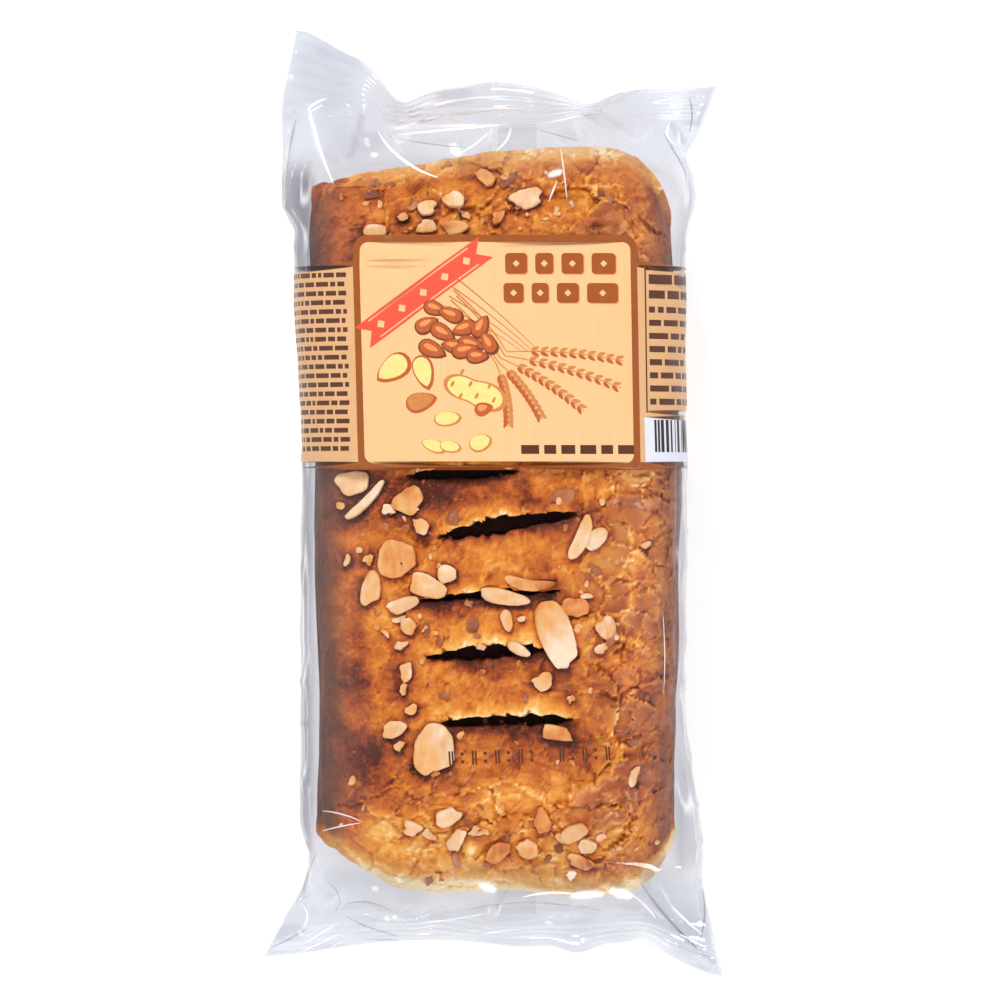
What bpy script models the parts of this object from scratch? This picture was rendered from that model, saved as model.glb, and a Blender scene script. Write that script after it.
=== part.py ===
"""Bear claw pastry in its sealed clear flow-wrap pack, lying on its flat underside.

The pack is one piece of film: a tube drawn round the pastry, gathered at both ends
into a crimped seal. It is modelled as one closed solid with the outer form of the
film. Frame: metres, +Z up, +X across the pack, +Y towards the end with the raised
corner, origin at the centre of the bounding box on the resting surface.

The skin is two sheets, an upper and a lower one, that share their outer edge. Each
is swept through five zones along Y: seal strip, gather, body, gather, seal strip.
"""
import math

import bmesh
import bpy
import numpy as np

# ---- driving dimensions, millimetres -------------------------------------------
BODY_HALF_WIDTH = 42.3      # film round the pastry, left and right of the axis
BODY_HEIGHT = 35.6          # highest point of the film over the pastry
SIDE_HEIGHT = 14.0          # height of the widest line of the sides
TOP_SQUARENESS = 3.1        # superellipse exponents of the section above and below
BASE_SQUARENESS = 4.6       # the widest line
BASE_PRESS = 1.6            # how far the base is pressed flat on the surface
BODY_TOP_END = 70.0         # Y where the body ends and the film starts to gather
BODY_LOW_END = -76.0
SEAL_THICK = 0.9            # two films and their crimp, as a solid
PINCH_Y, PINCH_IN = 77.5, 1.9
SHEET_U = 32                # facets across each sheet
ROWS = {"strip": 4, "gather": 15, "body": 24}


def smooth(x, lo, hi):
    """0 below lo, 1 above hi, and an even S between them. lo may be above hi."""
    t = np.clip((np.asarray(x, float) - lo) / (hi - lo), 0.0, 1.0)
    return t * t * (3.0 - 2.0 * t)


def bump(x, at, width):
    return np.exp(-(((np.asarray(x, float) - at) / width) ** 2))


def waves(u, base, terms):
    """A level with bumps on it, each (position, width, rise)."""
    total = np.full_like(np.asarray(u, float), float(base))
    for at, width, rise in terms:
        total = total + rise * bump(u, at, width)
    return total


# ---- the two end seals: where the inner and outer edge of each strip runs ------
# u is the place across the flat tube, -1 at the left edge and 1 at the right.
def top_seal(u):
    wing = smooth(u, -0.45, -0.67)      # the raised left corner of the strip
    tip = smooth(u, -0.60, -1.0)
    inner = np.stack([
        46.0 * u - 0.4 + 0.7 * smooth(u, 0.8, 1.0),
        waves(u, 84.4, [(0.40, 0.12, 1.9), (0.58, 0.08, -0.8)]) + 3.2 * wing + 2.6 * tip,
        waves(u, 11.0, [(-0.46, 0.09, -4.0), (0.0, 0.22, 2.5), (0.40, 0.09, 4.2),
                        (0.62, 0.10, -3.0), (0.86, 0.10, 3.2)]) + 4.6 * wing,
    ], -1)
    outer = np.stack([
        46.2 * u + 3.0 * np.abs(u) ** 3,
        waves(u, 91.1, [(-0.43, 0.09, -2.0), (0.02, 0.20, 1.6), (0.44, 0.12, -2.7),
                        (1.0, 0.20, 1.4)]) + 6.6 * wing + 6.2 * tip,
        waves(u, 15.5, [(-0.44, 0.09, -4.5), (-0.05, 0.20, 4.8), (0.40, 0.09, -1.6),
                        (0.66, 0.11, 4.4), (0.98, 0.12, -3.0)]) + 2.6 * wing + 3.0 * tip,
    ], -1)
    return inner, outer


def low_seal(u):
    left, right = smooth(u, -0.55, -1.0), smooth(u, 0.66, 1.0)
    inner = np.stack([
        46.6 * u + 2.1 * smooth(u, 0.5, 1.0),
        waves(u, -91.4, [(-0.62, 0.12, 1.2), (0.15, 0.30, -0.9), (0.62, 0.10, 0.9)])
        - 0.8 * left - 4.6 * right,
        waves(u, 11.6, [(-0.62, 0.10, 3.2), (-0.25, 0.15, -2.4), (0.12, 0.16, 2.4),
                        (0.42, 0.09, -2.6), (0.66, 0.09, 3.2)]) - 3.0 * left - 4.5 * right,
    ], -1)
    outer = np.stack([
        47.0 * u + 4.0 * smooth(u, 0.7, 1.0) - 4.2 * smooth(u, -0.7, -1.0),
        waves(u, -96.9, [(-0.30, 0.25, 0.3), (0.14, 0.16, -0.9), (0.40, 0.10, -2.5),
                         (0.70, 0.08, 0.9)])
        - 3.4 * left - 7.7 * right,
        waves(u, 4.0, [(-0.62, 0.10, 4.6), (-0.25, 0.12, -1.6), (0.10, 0.16, 2.2),
                       (0.42, 0.08, -1.8), (0.66, 0.09, 4.8)]) - 1.0 * left - 1.4 * right,
    ], -1)
    return inner, outer


# ---- the body: one closed section for each Y ------------------------------------
def half_widths(y):
    left = (BODY_HALF_WIDTH + 1.3 * smooth(y, 20, 56) - 0.7 * bump(y, 6.0, 9.0)
            + 2.7 * smooth(y, 59.5, 66.5) - 1.7 * smooth(y, -68, -77))
    right = (BODY_HALF_WIDTH - 0.2 + 2.1 * bump(y, 67.5, 6.5) + 0.5 * bump(y, -5.0, 20.0)
             + 3.8 * smooth(y, -42, -77))
    return left, right


def body_height(y):
    return (BODY_HEIGHT - 1.3 * smooth(y, 45, 70) - 1.7 * smooth(y, -52, -76)
            - 0.25 + 0.25 * math.sin(y / 9.0))


def section(y, u, upper):
    """Points of the upper or lower sheet at this Y, evenly spaced along the film."""
    left, right = half_widths(y)
    height, waist = body_height(y), SIDE_HEIGHT
    t = np.linspace(math.pi, 0.0, 721)
    power = 2.0 / (TOP_SQUARENESS if upper else BASE_SQUARENESS)
    c, s = np.cos(t), np.abs(np.sin(t))
    x = np.sign(c) * np.abs(c) ** power
    x = np.where(x < 0, x * left, x * right)
    if upper:
        z = waist + (height - waist) * s ** power
    else:
        z = np.maximum(0.0, waist - (waist + BASE_PRESS) * s ** power)
    run = np.concatenate([[0.0], np.cumsum(np.hypot(np.diff(x), np.diff(z)))])
    at = (np.asarray(u) + 1.0) / 2.0 * run[-1]
    return np.stack([np.interp(at, run, x), np.full_like(at, y), np.interp(at, run, z)], -1)


def gather(u, upper, y_end, inner, outer, s):
    """The film between the body's last section and the seal: a cubic for each u,
    leaving the body level and meeting the strip along the strip's own slope."""
    way = math.copysign(1.0, y_end)
    start = section(y_end, u, upper)
    along = outer - inner
    along = along / np.linalg.norm(along, axis=-1, keepdims=True)
    reach = np.abs(inner[:, 1] - y_end)[:, None]
    lead = start + np.array([0.0, way, 0.0]) * reach * (0.55 if upper else 0.62)
    meet = inner - along * reach * np.array([0.12, 0.30, 0.30])
    k = s
    return ((1 - k) ** 3 * start + 3 * (1 - k) ** 2 * k * lead
            + 3 * (1 - k) * k ** 2 * meet + k ** 3 * inner)


# ---- creases: sharp folds of the film, in plan ----------------------------------
# (start x, start y, end x, end y, width, height), tapering to nothing at both ends
CREASES = [
    (-34.5, 69.0, -41.0, 89.0, 2.6, 1.8),
    (-13.0, 71.5, -26.5, 84.5, 2.4, 1.6),
    (-5.0, 74.0, -3.0, 85.0, 1.8, 0.9),
    (3.5, 74.5, 4.5, 85.5, 1.8, 0.8),
    (-31.5, 75.0, -31.0, 92.0, 3.4, -2.2),
    (30.5, 83.0, 40.0, 70.0, 2.6, 1.1),
    (24.0, 86.0, 18.0, 76.0, 2.6, -1.0),
    (-38.0, -75.0, -43.5, -91.0, 2.6, 1.3),
    (-24.0, -82.0, -31.0, -92.0, 2.4, 1.0),
    (10.0, -83.0, 2.0, -92.0, 2.4, -0.8),
    (34.0, -79.0, 42.5, -94.0, 2.6, 1.5),
    (22.0, -83.0, 30.0, -92.0, 2.4, 0.8),
]


def crease_lift(x, y):
    lift = np.zeros_like(x)
    for x0, y0, x1, y1, width, height in CREASES:
        dx, dy = x1 - x0, y1 - y0
        length = math.hypot(dx, dy)
        along = ((x - x0) * dx + (y - y0) * dy) / length
        off = np.abs((x - x0) * dy - (y - y0) * dx) / length
        ends = smooth(along, -1.5, length * 0.35) * smooth(along, length + 2.0, length * 0.65)
        lift += height * ends * np.exp(-off / width)
    return lift


def skin(u, rows):
    """The upper and lower sheet as two grids of points, from the low end to the top."""
    sheets = []
    for upper in (True, False):
        strips = []
        for seal, y_end in ((low_seal, BODY_LOW_END), (top_seal, BODY_TOP_END)):
            inner, outer = seal(u)
            s_strip = np.linspace(0.0, 1.0, rows["strip"] + 1)[1:]
            s_gather = np.linspace(0.0, 1.0, rows["gather"] + 1)[1:]
            grid = [gather(u, upper, y_end, inner, outer, s) for s in s_gather]
            grid += [inner + (outer - inner) * s for s in s_strip]
            strips.append(np.array(grid))
        ys = np.linspace(BODY_LOW_END, BODY_TOP_END, rows["body"] + 1)
        body = np.array([section(y, u, upper) for y in ys])
        sheets.append(np.concatenate([strips[0][::-1], body, strips[1]]))
    top, low = sheets
    n_strip, n_gather = rows["strip"], rows["gather"]
    n = len(top)
    row = np.arange(n)
    # the share of the seal's own thickness: all of it in the strip, none in the body
    from_end = np.minimum(row, n - 1 - row)
    share = np.clip((n_strip + n_gather - from_end) / n_gather, 0.0, 1.0)[:, None] ** 2
    edge = np.where((from_end[:, None] == 0) | (np.abs(u)[None, :] >= 1.0), 0.0, 1.0)
    for sheet, side in ((top, 1.0), (low, -1.0)):
        free = np.clip((n_strip + n_gather + 3 - from_end) / (n_gather + 3), 0.0, 1.0)[:, None]
        lift = crease_lift(sheet[..., 0], sheet[..., 1]) * np.minimum(1.0, 2.0 * free)
        if side < 0:
            lift = lift * share
        sheet[..., 2] += lift * np.where(np.abs(u)[None, :] >= 1.0, 0.3, 1.0)
        sheet[..., 2] += side * edge * share * SEAL_THICK / 2.0
        # the right side is pinched in just below the upper gather
        pinch = PINCH_IN * bump(sheet[..., 1], PINCH_Y, 3.2) * smooth(u, 0.72, 1.0)[None, :]
        sheet[..., 0] -= pinch
    # both sheets end in the same edge
    rim = (top[[0, -1]] + low[[0, -1]]) / 2.0
    top[[0, -1]], low[[0, -1]] = rim, rim
    sides = (top[:, [0, -1]] + low[:, [0, -1]]) / 2.0
    top[:, [0, -1]], low[:, [0, -1]] = sides, sides
    np.maximum(low[..., 2], 0.0, out=low[..., 2])
    top[..., 2] = np.maximum(top[..., 2], low[..., 2] + 0.35 * edge)
    return top, low


def centred(top, low):
    """The frame's origin is at the middle of the bounding box, on the surface."""
    both = np.concatenate([top.reshape(-1, 3), low.reshape(-1, 3)])
    lo, hi = both.min(0), both.max(0)
    shift = np.array([-(lo[0] + hi[0]) / 2.0, -(lo[1] + hi[1]) / 2.0, -lo[2]])
    return top + shift, low + shift


def pack_mesh(name):
    u = np.sin(np.linspace(-1.0, 1.0, SHEET_U + 1) * math.pi / 2.0 * 0.80) / math.sin(
        math.pi / 2.0 * 0.80)
    top, low = centred(*skin(u, ROWS))
    n, m = top.shape[:2]
    mesh = bmesh.new()
    upper = [[mesh.verts.new(p * 0.001) for p in line] for line in top]
    lower = [[upper[i][j] if i in (0, n - 1) or j in (0, m - 1)
              else mesh.verts.new(low[i, j] * 0.001) for j in range(m)] for i in range(n)]
    for i in range(n - 1):
        for j in range(m - 1):
            for grid, order in ((upper, 1), (lower, -1)):
                a, b, c, d = grid[i][j], grid[i][j + 1], grid[i + 1][j + 1], grid[i + 1][j]
                # the diagonal runs from the sheet's corner towards its middle
                if (i < n // 2) == (j < m // 2):
                    halves = (a, b, c), (a, c, d)
                else:
                    halves = (a, b, d), (b, c, d)
                for half in halves:
                    mesh.faces.new(half[::order])
    bmesh.ops.recalc_face_normals(mesh, faces=mesh.faces)
    data = bpy.data.meshes.new(name)
    mesh.to_mesh(data)
    mesh.free()
    data.shade_smooth()
    data.set_sharp_from_angle(angle=math.radians(50))
    return data


def material(name, colour, roughness, alpha):
    made = bpy.data.materials.new(name)
    made.use_nodes = True
    shader = made.node_tree.nodes["Principled BSDF"]
    shader.inputs["Base Color"].default_value = (*colour, 1.0)
    shader.inputs["Roughness"].default_value = roughness
    shader.inputs["Metallic"].default_value = 0.0
    shader.inputs["Alpha"].default_value = alpha
    return made


for old in list(bpy.data.objects):
    bpy.data.objects.remove(old, do_unlink=True)

pack = bpy.data.objects.new("pack", pack_mesh("pack"))
bpy.context.scene.collection.objects.link(pack)
pack.data.materials.append(material("clear_film", (0.60, 0.33, 0.14), 0.25, 0.9))
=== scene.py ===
import math

import bpy
import numpy as np
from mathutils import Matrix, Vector
from mathutils.bvhtree import BVHTree
from mathutils.geometry import delaunay_2d_cdt


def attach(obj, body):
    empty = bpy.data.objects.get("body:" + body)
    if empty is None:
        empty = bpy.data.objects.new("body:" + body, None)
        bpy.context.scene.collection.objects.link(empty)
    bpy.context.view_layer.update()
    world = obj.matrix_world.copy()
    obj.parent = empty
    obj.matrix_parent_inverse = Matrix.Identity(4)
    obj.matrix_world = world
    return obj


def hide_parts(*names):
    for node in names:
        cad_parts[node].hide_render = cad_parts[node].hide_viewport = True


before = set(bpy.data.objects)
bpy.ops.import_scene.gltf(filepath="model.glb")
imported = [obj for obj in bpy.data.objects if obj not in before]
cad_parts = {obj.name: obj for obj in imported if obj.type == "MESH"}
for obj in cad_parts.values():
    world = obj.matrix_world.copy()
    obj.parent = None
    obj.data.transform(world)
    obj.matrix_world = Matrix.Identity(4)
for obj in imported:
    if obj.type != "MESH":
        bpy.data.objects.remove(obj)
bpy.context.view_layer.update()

MM = 0.001


# =================================================================================
# small tools
# =================================================================================
def smooth(x, lo, hi):
    t = np.clip((np.asarray(x, float) - lo) / (hi - lo), 0.0, 1.0)
    return t * t * (3.0 - 2.0 * t)


def bump(x, at, width):
    return np.exp(-(((np.asarray(x, float) - at) / width) ** 2))


def waves(u, base, terms):
    total = np.full_like(np.asarray(u, float), float(base))
    for at, width, rise in terms:
        total = total + rise * bump(u, at, width)
    return total


def hashed(ix, iy, iz, seed):
    h = (ix * 73856093) ^ (iy * 19349663) ^ (iz * 83492791) ^ (seed * 40503 + 977)
    for shift, factor in ((13, 1274126177), (16, 2246822519)):
        h = ((h ^ (h >> shift)) & 0xFFFFFFFF) * factor & 0xFFFFFFFF
    h = h ^ (h >> 15)
    return h / 2147483647.5 - 1.0


def noise(p, scale, seed=0):
    """Smooth value noise, -1..1, at points p (..., 3), with cells of this size."""
    q = np.asarray(p, float) / np.asarray(scale, float)
    base = np.floor(q)
    f = q - base
    f = f * f * f * (f * (f * 6.0 - 15.0) + 10.0)
    i = base.astype(np.int64)
    total = np.zeros(q.shape[:-1])
    for dx in (0, 1):
        for dy in (0, 1):
            for dz in (0, 1):
                w = ((f[..., 0] if dx else 1.0 - f[..., 0])
                     * (f[..., 1] if dy else 1.0 - f[..., 1])
                     * (f[..., 2] if dz else 1.0 - f[..., 2]))
                total += w * hashed(i[..., 0] + dx, i[..., 1] + dy, i[..., 2] + dz, seed)
    return total


def fbm(p, scale, octaves=3, seed=0, gain=0.5):
    total, weight, size = 0.0, 0.0, 1.0
    for k in range(octaves):
        total = total + size * noise(p, np.asarray(scale, float) / 2.0 ** k, seed + 31 * k)
        weight += size
        size *= gain
    return total / weight


def ridge(p, scale, seed=0, width=0.42):
    """Sharp-crested folds: 1 on the crest lines of a noise, 0 away from them."""
    return np.clip(1.0 - np.abs(noise(p, scale, seed)) / width, 0.0, 1.0)


def terrace(v, steps, lip=0.25):
    """v made into steps with a short steep rise, as flakes lying over each other."""
    t = v * steps
    return (np.floor(t) + smooth(t - np.floor(t), 0.0, lip)) / steps


def facets(u, v, cell, seed):
    """A sheet creased into flat triangles: continuous, with straight sharp folds, -1..1."""
    r = v / cell[1]
    q = u / cell[0] + 0.5 * r
    i, j = np.floor(q).astype(np.int64), np.floor(r).astype(np.int64)
    f, g, k = q - i, r - j, np.zeros_like(i)
    h00, h10 = hashed(i, j, k, seed), hashed(i + 1, j, k, seed)
    h01, h11 = hashed(i, j + 1, k, seed), hashed(i + 1, j + 1, k, seed)
    return np.where(f + g < 1.0, h00 + f * (h10 - h00) + g * (h01 - h00),
                    h11 + (1.0 - f) * (h01 - h11) + (1.0 - g) * (h10 - h11))


def plates(p, cell, seed, jitter=0.42):
    """Flakes lying over each other: each point's height on its own tilted flake, a pale rim where that flake ends over
    a lower one, a painted shade where it runs under another, and its number."""
    q = p[..., :2] / np.asarray(cell, float)
    base = np.floor(q).astype(np.int64)
    shape = q.shape[:-1]
    near, second = np.full(shape, 9.0), np.full(shape, 9.0)
    level, other, number = np.zeros(shape), np.zeros(shape), np.zeros(shape)
    for dx in (-1, 0, 1):
        for dy in (-1, 0, 1):
            ix, iy = base[..., 0] + dx, base[..., 1] + dy
            draw = [hashed(ix, iy, np.full_like(ix, k), seed) for k in range(5)]
            ox = q[..., 0] - (ix + 0.5 + jitter * draw[0])
            oy = q[..., 1] - (iy + 0.5 + jitter * draw[1])
            d = np.hypot(ox, oy)
            here = 0.5 * draw[2] + 0.75 * (ox * draw[3] + oy * draw[4])
            first, runner = d < near, (d >= near) & (d < second)
            second = np.where(first, near, np.where(runner, d, second))
            other = np.where(first, level, np.where(runner, here, other))
            near = np.where(first, d, near)
            level = np.where(first, here, level)
            number = np.where(first, draw[2], number)
    border = (second - near) * float(np.mean(cell)) * 0.5
    over = smooth(level - other, -0.06, 0.06)
    return level, np.exp(-border / 0.42) * over, np.exp(-border / 0.55) * (1.0 - over), number


def srgb(r, g, b):
    return tuple(((c / 255.0) / 12.92) if c <= 10 else (((c / 255.0) + 0.055) / 1.055) ** 2.4
                 for c in (r, g, b))


def build(name, verts, faces, materials, face_material=None, values=None, sharp=None):
    mesh = bpy.data.meshes.new(name)
    mesh.from_pydata((np.asarray(verts, float) * MM).tolist(), [], faces)
    for m in materials:
        mesh.materials.append(m)
    if face_material is not None:
        mesh.polygons.foreach_set("material_index", np.asarray(face_material, np.int32))
    for key, array in (values or {}).items():
        layer = mesh.attributes.new(key, "FLOAT", "POINT")
        layer.data.foreach_set("value", np.asarray(array, np.float32))
    mesh.shade_smooth()
    if sharp is not None:
        mesh.set_sharp_from_angle(angle=math.radians(sharp))
    mesh.update()
    made = bpy.data.objects.new(name, mesh)
    bpy.context.scene.collection.objects.link(made)
    return made


def grid_normals(grid):
    across = np.gradient(grid, axis=1)
    along = np.gradient(grid, axis=0)
    n = np.cross(across, along)
    return n / np.maximum(np.linalg.norm(n, axis=-1, keepdims=True), 1e-9)


# =================================================================================
# the film's skin: the CAD model's own surface, at a finer pitch
# =================================================================================
BODY_HALF_WIDTH, BODY_HEIGHT, SIDE_HEIGHT = 42.3, 35.6, 14.0
TOP_SQUARENESS, BASE_SQUARENESS, BASE_PRESS = 3.1, 4.6, 1.6
BODY_TOP_END, BODY_LOW_END = 70.0, -76.0
SEAL_GAP = 0.30
PINCH_Y, PINCH_IN = 77.5, 1.9
FILM_BASE = 0.45            # the film's flat underside, clear of the surface for the fin
FILM_U = 176
BODY_YS = np.concatenate([np.linspace(BODY_LOW_END, -58.0, 27)[:-1], np.linspace(-58.0, 54.0, 76)[:-1],
                          np.linspace(54.0, BODY_TOP_END, 24)])
FILM_ROWS = {"strip": 24, "gather": 54, "body": len(BODY_YS) - 1}


def top_seal(u):
    wing = smooth(u, -0.45, -0.67)
    tip = smooth(u, -0.60, -1.0)
    inner = np.stack([
        46.0 * u - 0.4 + 0.7 * smooth(u, 0.8, 1.0),
        waves(u, 84.4, [(0.40, 0.12, 1.9), (0.58, 0.08, -0.8)]) + 3.2 * wing + 2.6 * tip,
        waves(u, 11.0, [(-0.46, 0.09, -4.0), (0.0, 0.22, 2.5), (0.40, 0.09, 4.2),
                        (0.62, 0.10, -3.0), (0.86, 0.10, 3.2)]) + 4.6 * wing,
    ], -1)
    outer = np.stack([
        46.2 * u + 3.0 * np.abs(u) ** 3,
        waves(u, 91.1, [(-0.43, 0.09, -2.0), (0.02, 0.20, 1.6), (0.44, 0.12, -2.7),
                        (1.0, 0.20, 1.4)]) + 6.6 * wing + 6.2 * tip,
        waves(u, 15.5, [(-0.44, 0.09, -4.5), (-0.05, 0.20, 4.8), (0.40, 0.09, -1.6),
                        (0.66, 0.11, 4.4), (0.98, 0.12, -3.0)]) + 2.6 * wing + 3.0 * tip,
    ], -1)
    return inner, outer


def low_seal(u):
    left, right = smooth(u, -0.55, -1.0), smooth(u, 0.66, 1.0)
    inner = np.stack([
        46.6 * u + 2.1 * smooth(u, 0.5, 1.0),
        waves(u, -91.4, [(-0.62, 0.12, 1.2), (0.15, 0.30, -0.9), (0.62, 0.10, 0.9)])
        - 0.8 * left - 4.6 * right,
        waves(u, 11.6, [(-0.62, 0.10, 3.2), (-0.25, 0.15, -2.4), (0.12, 0.16, 2.4),
                        (0.42, 0.09, -2.6), (0.66, 0.09, 3.2)]) - 3.0 * left - 4.5 * right,
    ], -1)
    outer = np.stack([
        47.0 * u + 4.0 * smooth(u, 0.7, 1.0) - 4.2 * smooth(u, -0.7, -1.0),
        waves(u, -96.9, [(-0.30, 0.25, 0.3), (0.14, 0.16, -0.9), (0.40, 0.10, -2.5),
                         (0.70, 0.08, 0.9)]) - 3.4 * left - 7.7 * right,
        waves(u, 4.0, [(-0.62, 0.10, 4.6), (-0.25, 0.12, -1.6), (0.10, 0.16, 2.2),
                       (0.42, 0.08, -1.8), (0.66, 0.09, 4.8)]) - 1.0 * left - 1.4 * right,
    ], -1)
    return inner, outer


def half_widths(y):
    left = (BODY_HALF_WIDTH + 1.3 * smooth(y, 20, 56) - 0.7 * bump(y, 6.0, 9.0)
            + 2.7 * smooth(y, 59.5, 66.5) - 1.7 * smooth(y, -68, -77))
    right = (BODY_HALF_WIDTH - 0.2 + 2.1 * bump(y, 67.5, 6.5) + 0.5 * bump(y, -5.0, 20.0)
             + 3.8 * smooth(y, -42, -77))
    return left, right


def body_height(y):
    return (BODY_HEIGHT - 1.3 * smooth(y, 45, 70) - 1.7 * smooth(y, -52, -76)
            - 0.25 + 0.25 * math.sin(y / 9.0))


def section_run(y, upper):
    left, right = half_widths(y)
    height, waist = body_height(y), SIDE_HEIGHT
    t = np.linspace(math.pi, 0.0, 721)
    power = 2.0 / (TOP_SQUARENESS if upper else BASE_SQUARENESS)
    c, s = np.cos(t), np.abs(np.sin(t))
    x = np.sign(c) * np.abs(c) ** power
    x = np.where(x < 0, x * left, x * right)
    if upper:
        z = waist + (height - waist) * s ** power
    else:
        z = np.maximum(FILM_BASE, waist - (waist + BASE_PRESS) * s ** power)
    run = np.concatenate([[0.0], np.cumsum(np.hypot(np.diff(x), np.diff(z)))])
    return x, z, run


def section(y, u, upper):
    x, z, run = section_run(y, upper)
    at = (np.asarray(u) + 1.0) / 2.0 * run[-1]
    return np.stack([np.interp(at, run, x), np.full_like(at, y), np.interp(at, run, z)], -1)


def gather(u, upper, y_end, inner, outer, k):
    way = math.copysign(1.0, y_end)
    start = section(y_end, u, upper)
    along = outer - inner
    along = along / np.linalg.norm(along, axis=-1, keepdims=True)
    reach = np.abs(inner[:, 1] - y_end)[:, None]
    lead = start + np.array([0.0, way, 0.0]) * reach * (0.55 if upper else 0.62)
    meet = inner - along * reach * np.array([0.12, 0.30, 0.30])
    return ((1 - k) ** 3 * start + 3 * (1 - k) ** 2 * k * lead
            + 3 * (1 - k) * k ** 2 * meet + k ** 3 * inner)


# broad folds shared with the CAD skin: start, end, width, height
CREASES = [
    (-34.5, 69.0, -41.0, 89.0, 2.6, 1.8), (-13.0, 71.5, -26.5, 84.5, 2.4, 1.6),
    (-5.0, 74.0, -3.0, 85.0, 1.8, 0.9), (3.5, 74.5, 4.5, 85.5, 1.8, 0.8),
    (-31.5, 75.0, -31.0, 92.0, 3.4, -2.2), (30.5, 83.0, 40.0, 70.0, 2.6, 1.1),
    (24.0, 86.0, 18.0, 76.0, 2.6, -1.0), (-38.0, -75.0, -43.5, -91.0, 2.6, 1.3),
    (-24.0, -82.0, -31.0, -92.0, 2.4, 1.0), (10.0, -83.0, 2.0, -92.0, 2.4, -0.8),
    (34.0, -79.0, 42.5, -94.0, 2.6, 1.5), (22.0, -83.0, 30.0, -92.0, 2.4, 0.8),
]
# narrow sharp folds, only in the looks
FOLDS = [
    (-35.0, 69.0, -41.2, 89.5, 1.1, 0.9), (-16.5, 72.0, -26.0, 83.5, 1.2, 0.9),
    (-3.5, 73.5, -9.5, 82.0, 0.8, 0.5), (-1.0, 76.5, 0.5, 84.0, 0.7, 0.5),
    (5.5, 75.0, 3.0, 83.0, 0.7, 0.4), (12.0, 67.5, 15.5, 73.5, 0.9, 0.7),
    (15.5, 67.0, 12.5, 73.0, 0.8, -0.5), (27.0, 84.0, 31.5, 77.5, 0.9, 0.8),
    (31.5, 77.5, 36.5, 85.5, 0.9, 0.7), (42.0, 72.0, 40.5, 84.0, 1.0, 0.8),
    (44.5, 78.0, 43.0, 88.0, 0.9, -0.7), (-30.5, 72.5, -36.0, 82.5, 0.9, -0.7),
    (-27.5, 76.0, -31.5, 86.5, 1.0, 0.7), (-22.0, 76.0, -20.5, 84.0, 0.9, -0.5),
    (-2.0, -82.0, 0.5, -88.5, 0.8, 0.6), (23.0, -86.5, 33.0, -88.5, 0.9, 0.7),
    (31.0, -84.5, 40.0, -93.0, 0.9, 0.8), (-30.0, -80.5, -38.5, -90.0, 1.0, 0.8),
    (-36.0, -77.0, -41.0, -86.0, 0.9, -0.6), (-18.0, -84.5, -22.0, -91.0, 0.8, 0.6),
    (-9.0, -85.5, -12.5, -91.5, 0.8, -0.5), (14.0, -86.0, 18.5, -92.5, 0.8, 0.5),
    (38.5, -70.0, 43.0, -84.0, 1.1, 0.8), (41.5, -58.0, 43.5, -72.0, 1.1, -0.6),
]


def crease_lift(x, y, creases, tent=False):
    lift = np.zeros_like(x)
    for x0, y0, x1, y1, width, height in creases:
        dx, dy = x1 - x0, y1 - y0
        length = math.hypot(dx, dy)
        along = ((x - x0) * dx + (y - y0) * dy) / length
        off = np.abs((x - x0) * dy - (y - y0) * dx) / length
        ends = smooth(along, -1.5, length * 0.35) * smooth(along, length + 2.0, length * 0.65)
        shape = np.clip(1.0 - off / (2.0 * width), 0.0, 1.0) ** 1.3 if tent else np.exp(-off / width)
        lift += height * ends * shape
    return lift


def skin(u, rows):
    sheets = []
    for upper in (True, False):
        strips = []
        for seal, y_end in ((low_seal, BODY_LOW_END), (top_seal, BODY_TOP_END)):
            inner, outer = seal(u)
            s_strip = np.linspace(0.0, 1.0, rows["strip"] + 1)[1:]
            s_gather = np.linspace(0.0, 1.0, rows["gather"] + 1)[1:]
            grid = [gather(u, upper, y_end, inner, outer, s) for s in s_gather]
            grid += [inner + (outer - inner) * s for s in s_strip]
            strips.append(np.array(grid))
        body = np.array([section(y, u, upper) for y in BODY_YS])
        sheets.append(np.concatenate([strips[0][::-1], body, strips[1]]))
    top, low = sheets
    n_strip, n_gather = rows["strip"], rows["gather"]
    n = len(top)
    from_end = np.minimum(np.arange(n), n - 1 - np.arange(n))
    share = np.clip((n_strip + n_gather - from_end) / n_gather, 0.0, 1.0)[:, None] ** 2
    rim = (from_end[:, None] == 0) | (np.abs(u)[None, :] >= 1.0)
    edge = np.where(rim, 0.0, 1.0)
    free = np.clip((n_strip + n_gather * 1.06 - from_end) / (n_gather * 1.06), 0.0, 1.0)[:, None]
    for sheet, side in ((top, 1.0), (low, -1.0)):
        lift = crease_lift(sheet[..., 0], sheet[..., 1], CREASES) * np.minimum(1.0, 2.0 * free)
        if side < 0:
            lift = lift * share
        sheet[..., 2] += lift * np.where(np.abs(u)[None, :] >= 1.0, 0.3, 1.0)
        sheet[..., 2] += side * edge * share * SEAL_GAP / 2.0
        sheet[..., 0] -= PINCH_IN * bump(sheet[..., 1], PINCH_Y, 3.2) * smooth(u, 0.72, 1.0)[None, :]
    ends = (top[[0, -1]] + low[[0, -1]]) / 2.0
    top[[0, -1]], low[[0, -1]] = ends, ends
    sides = (top[:, [0, -1]] + low[:, [0, -1]]) / 2.0
    top[:, [0, -1]], low[:, [0, -1]] = sides, sides
    return top, low


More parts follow.
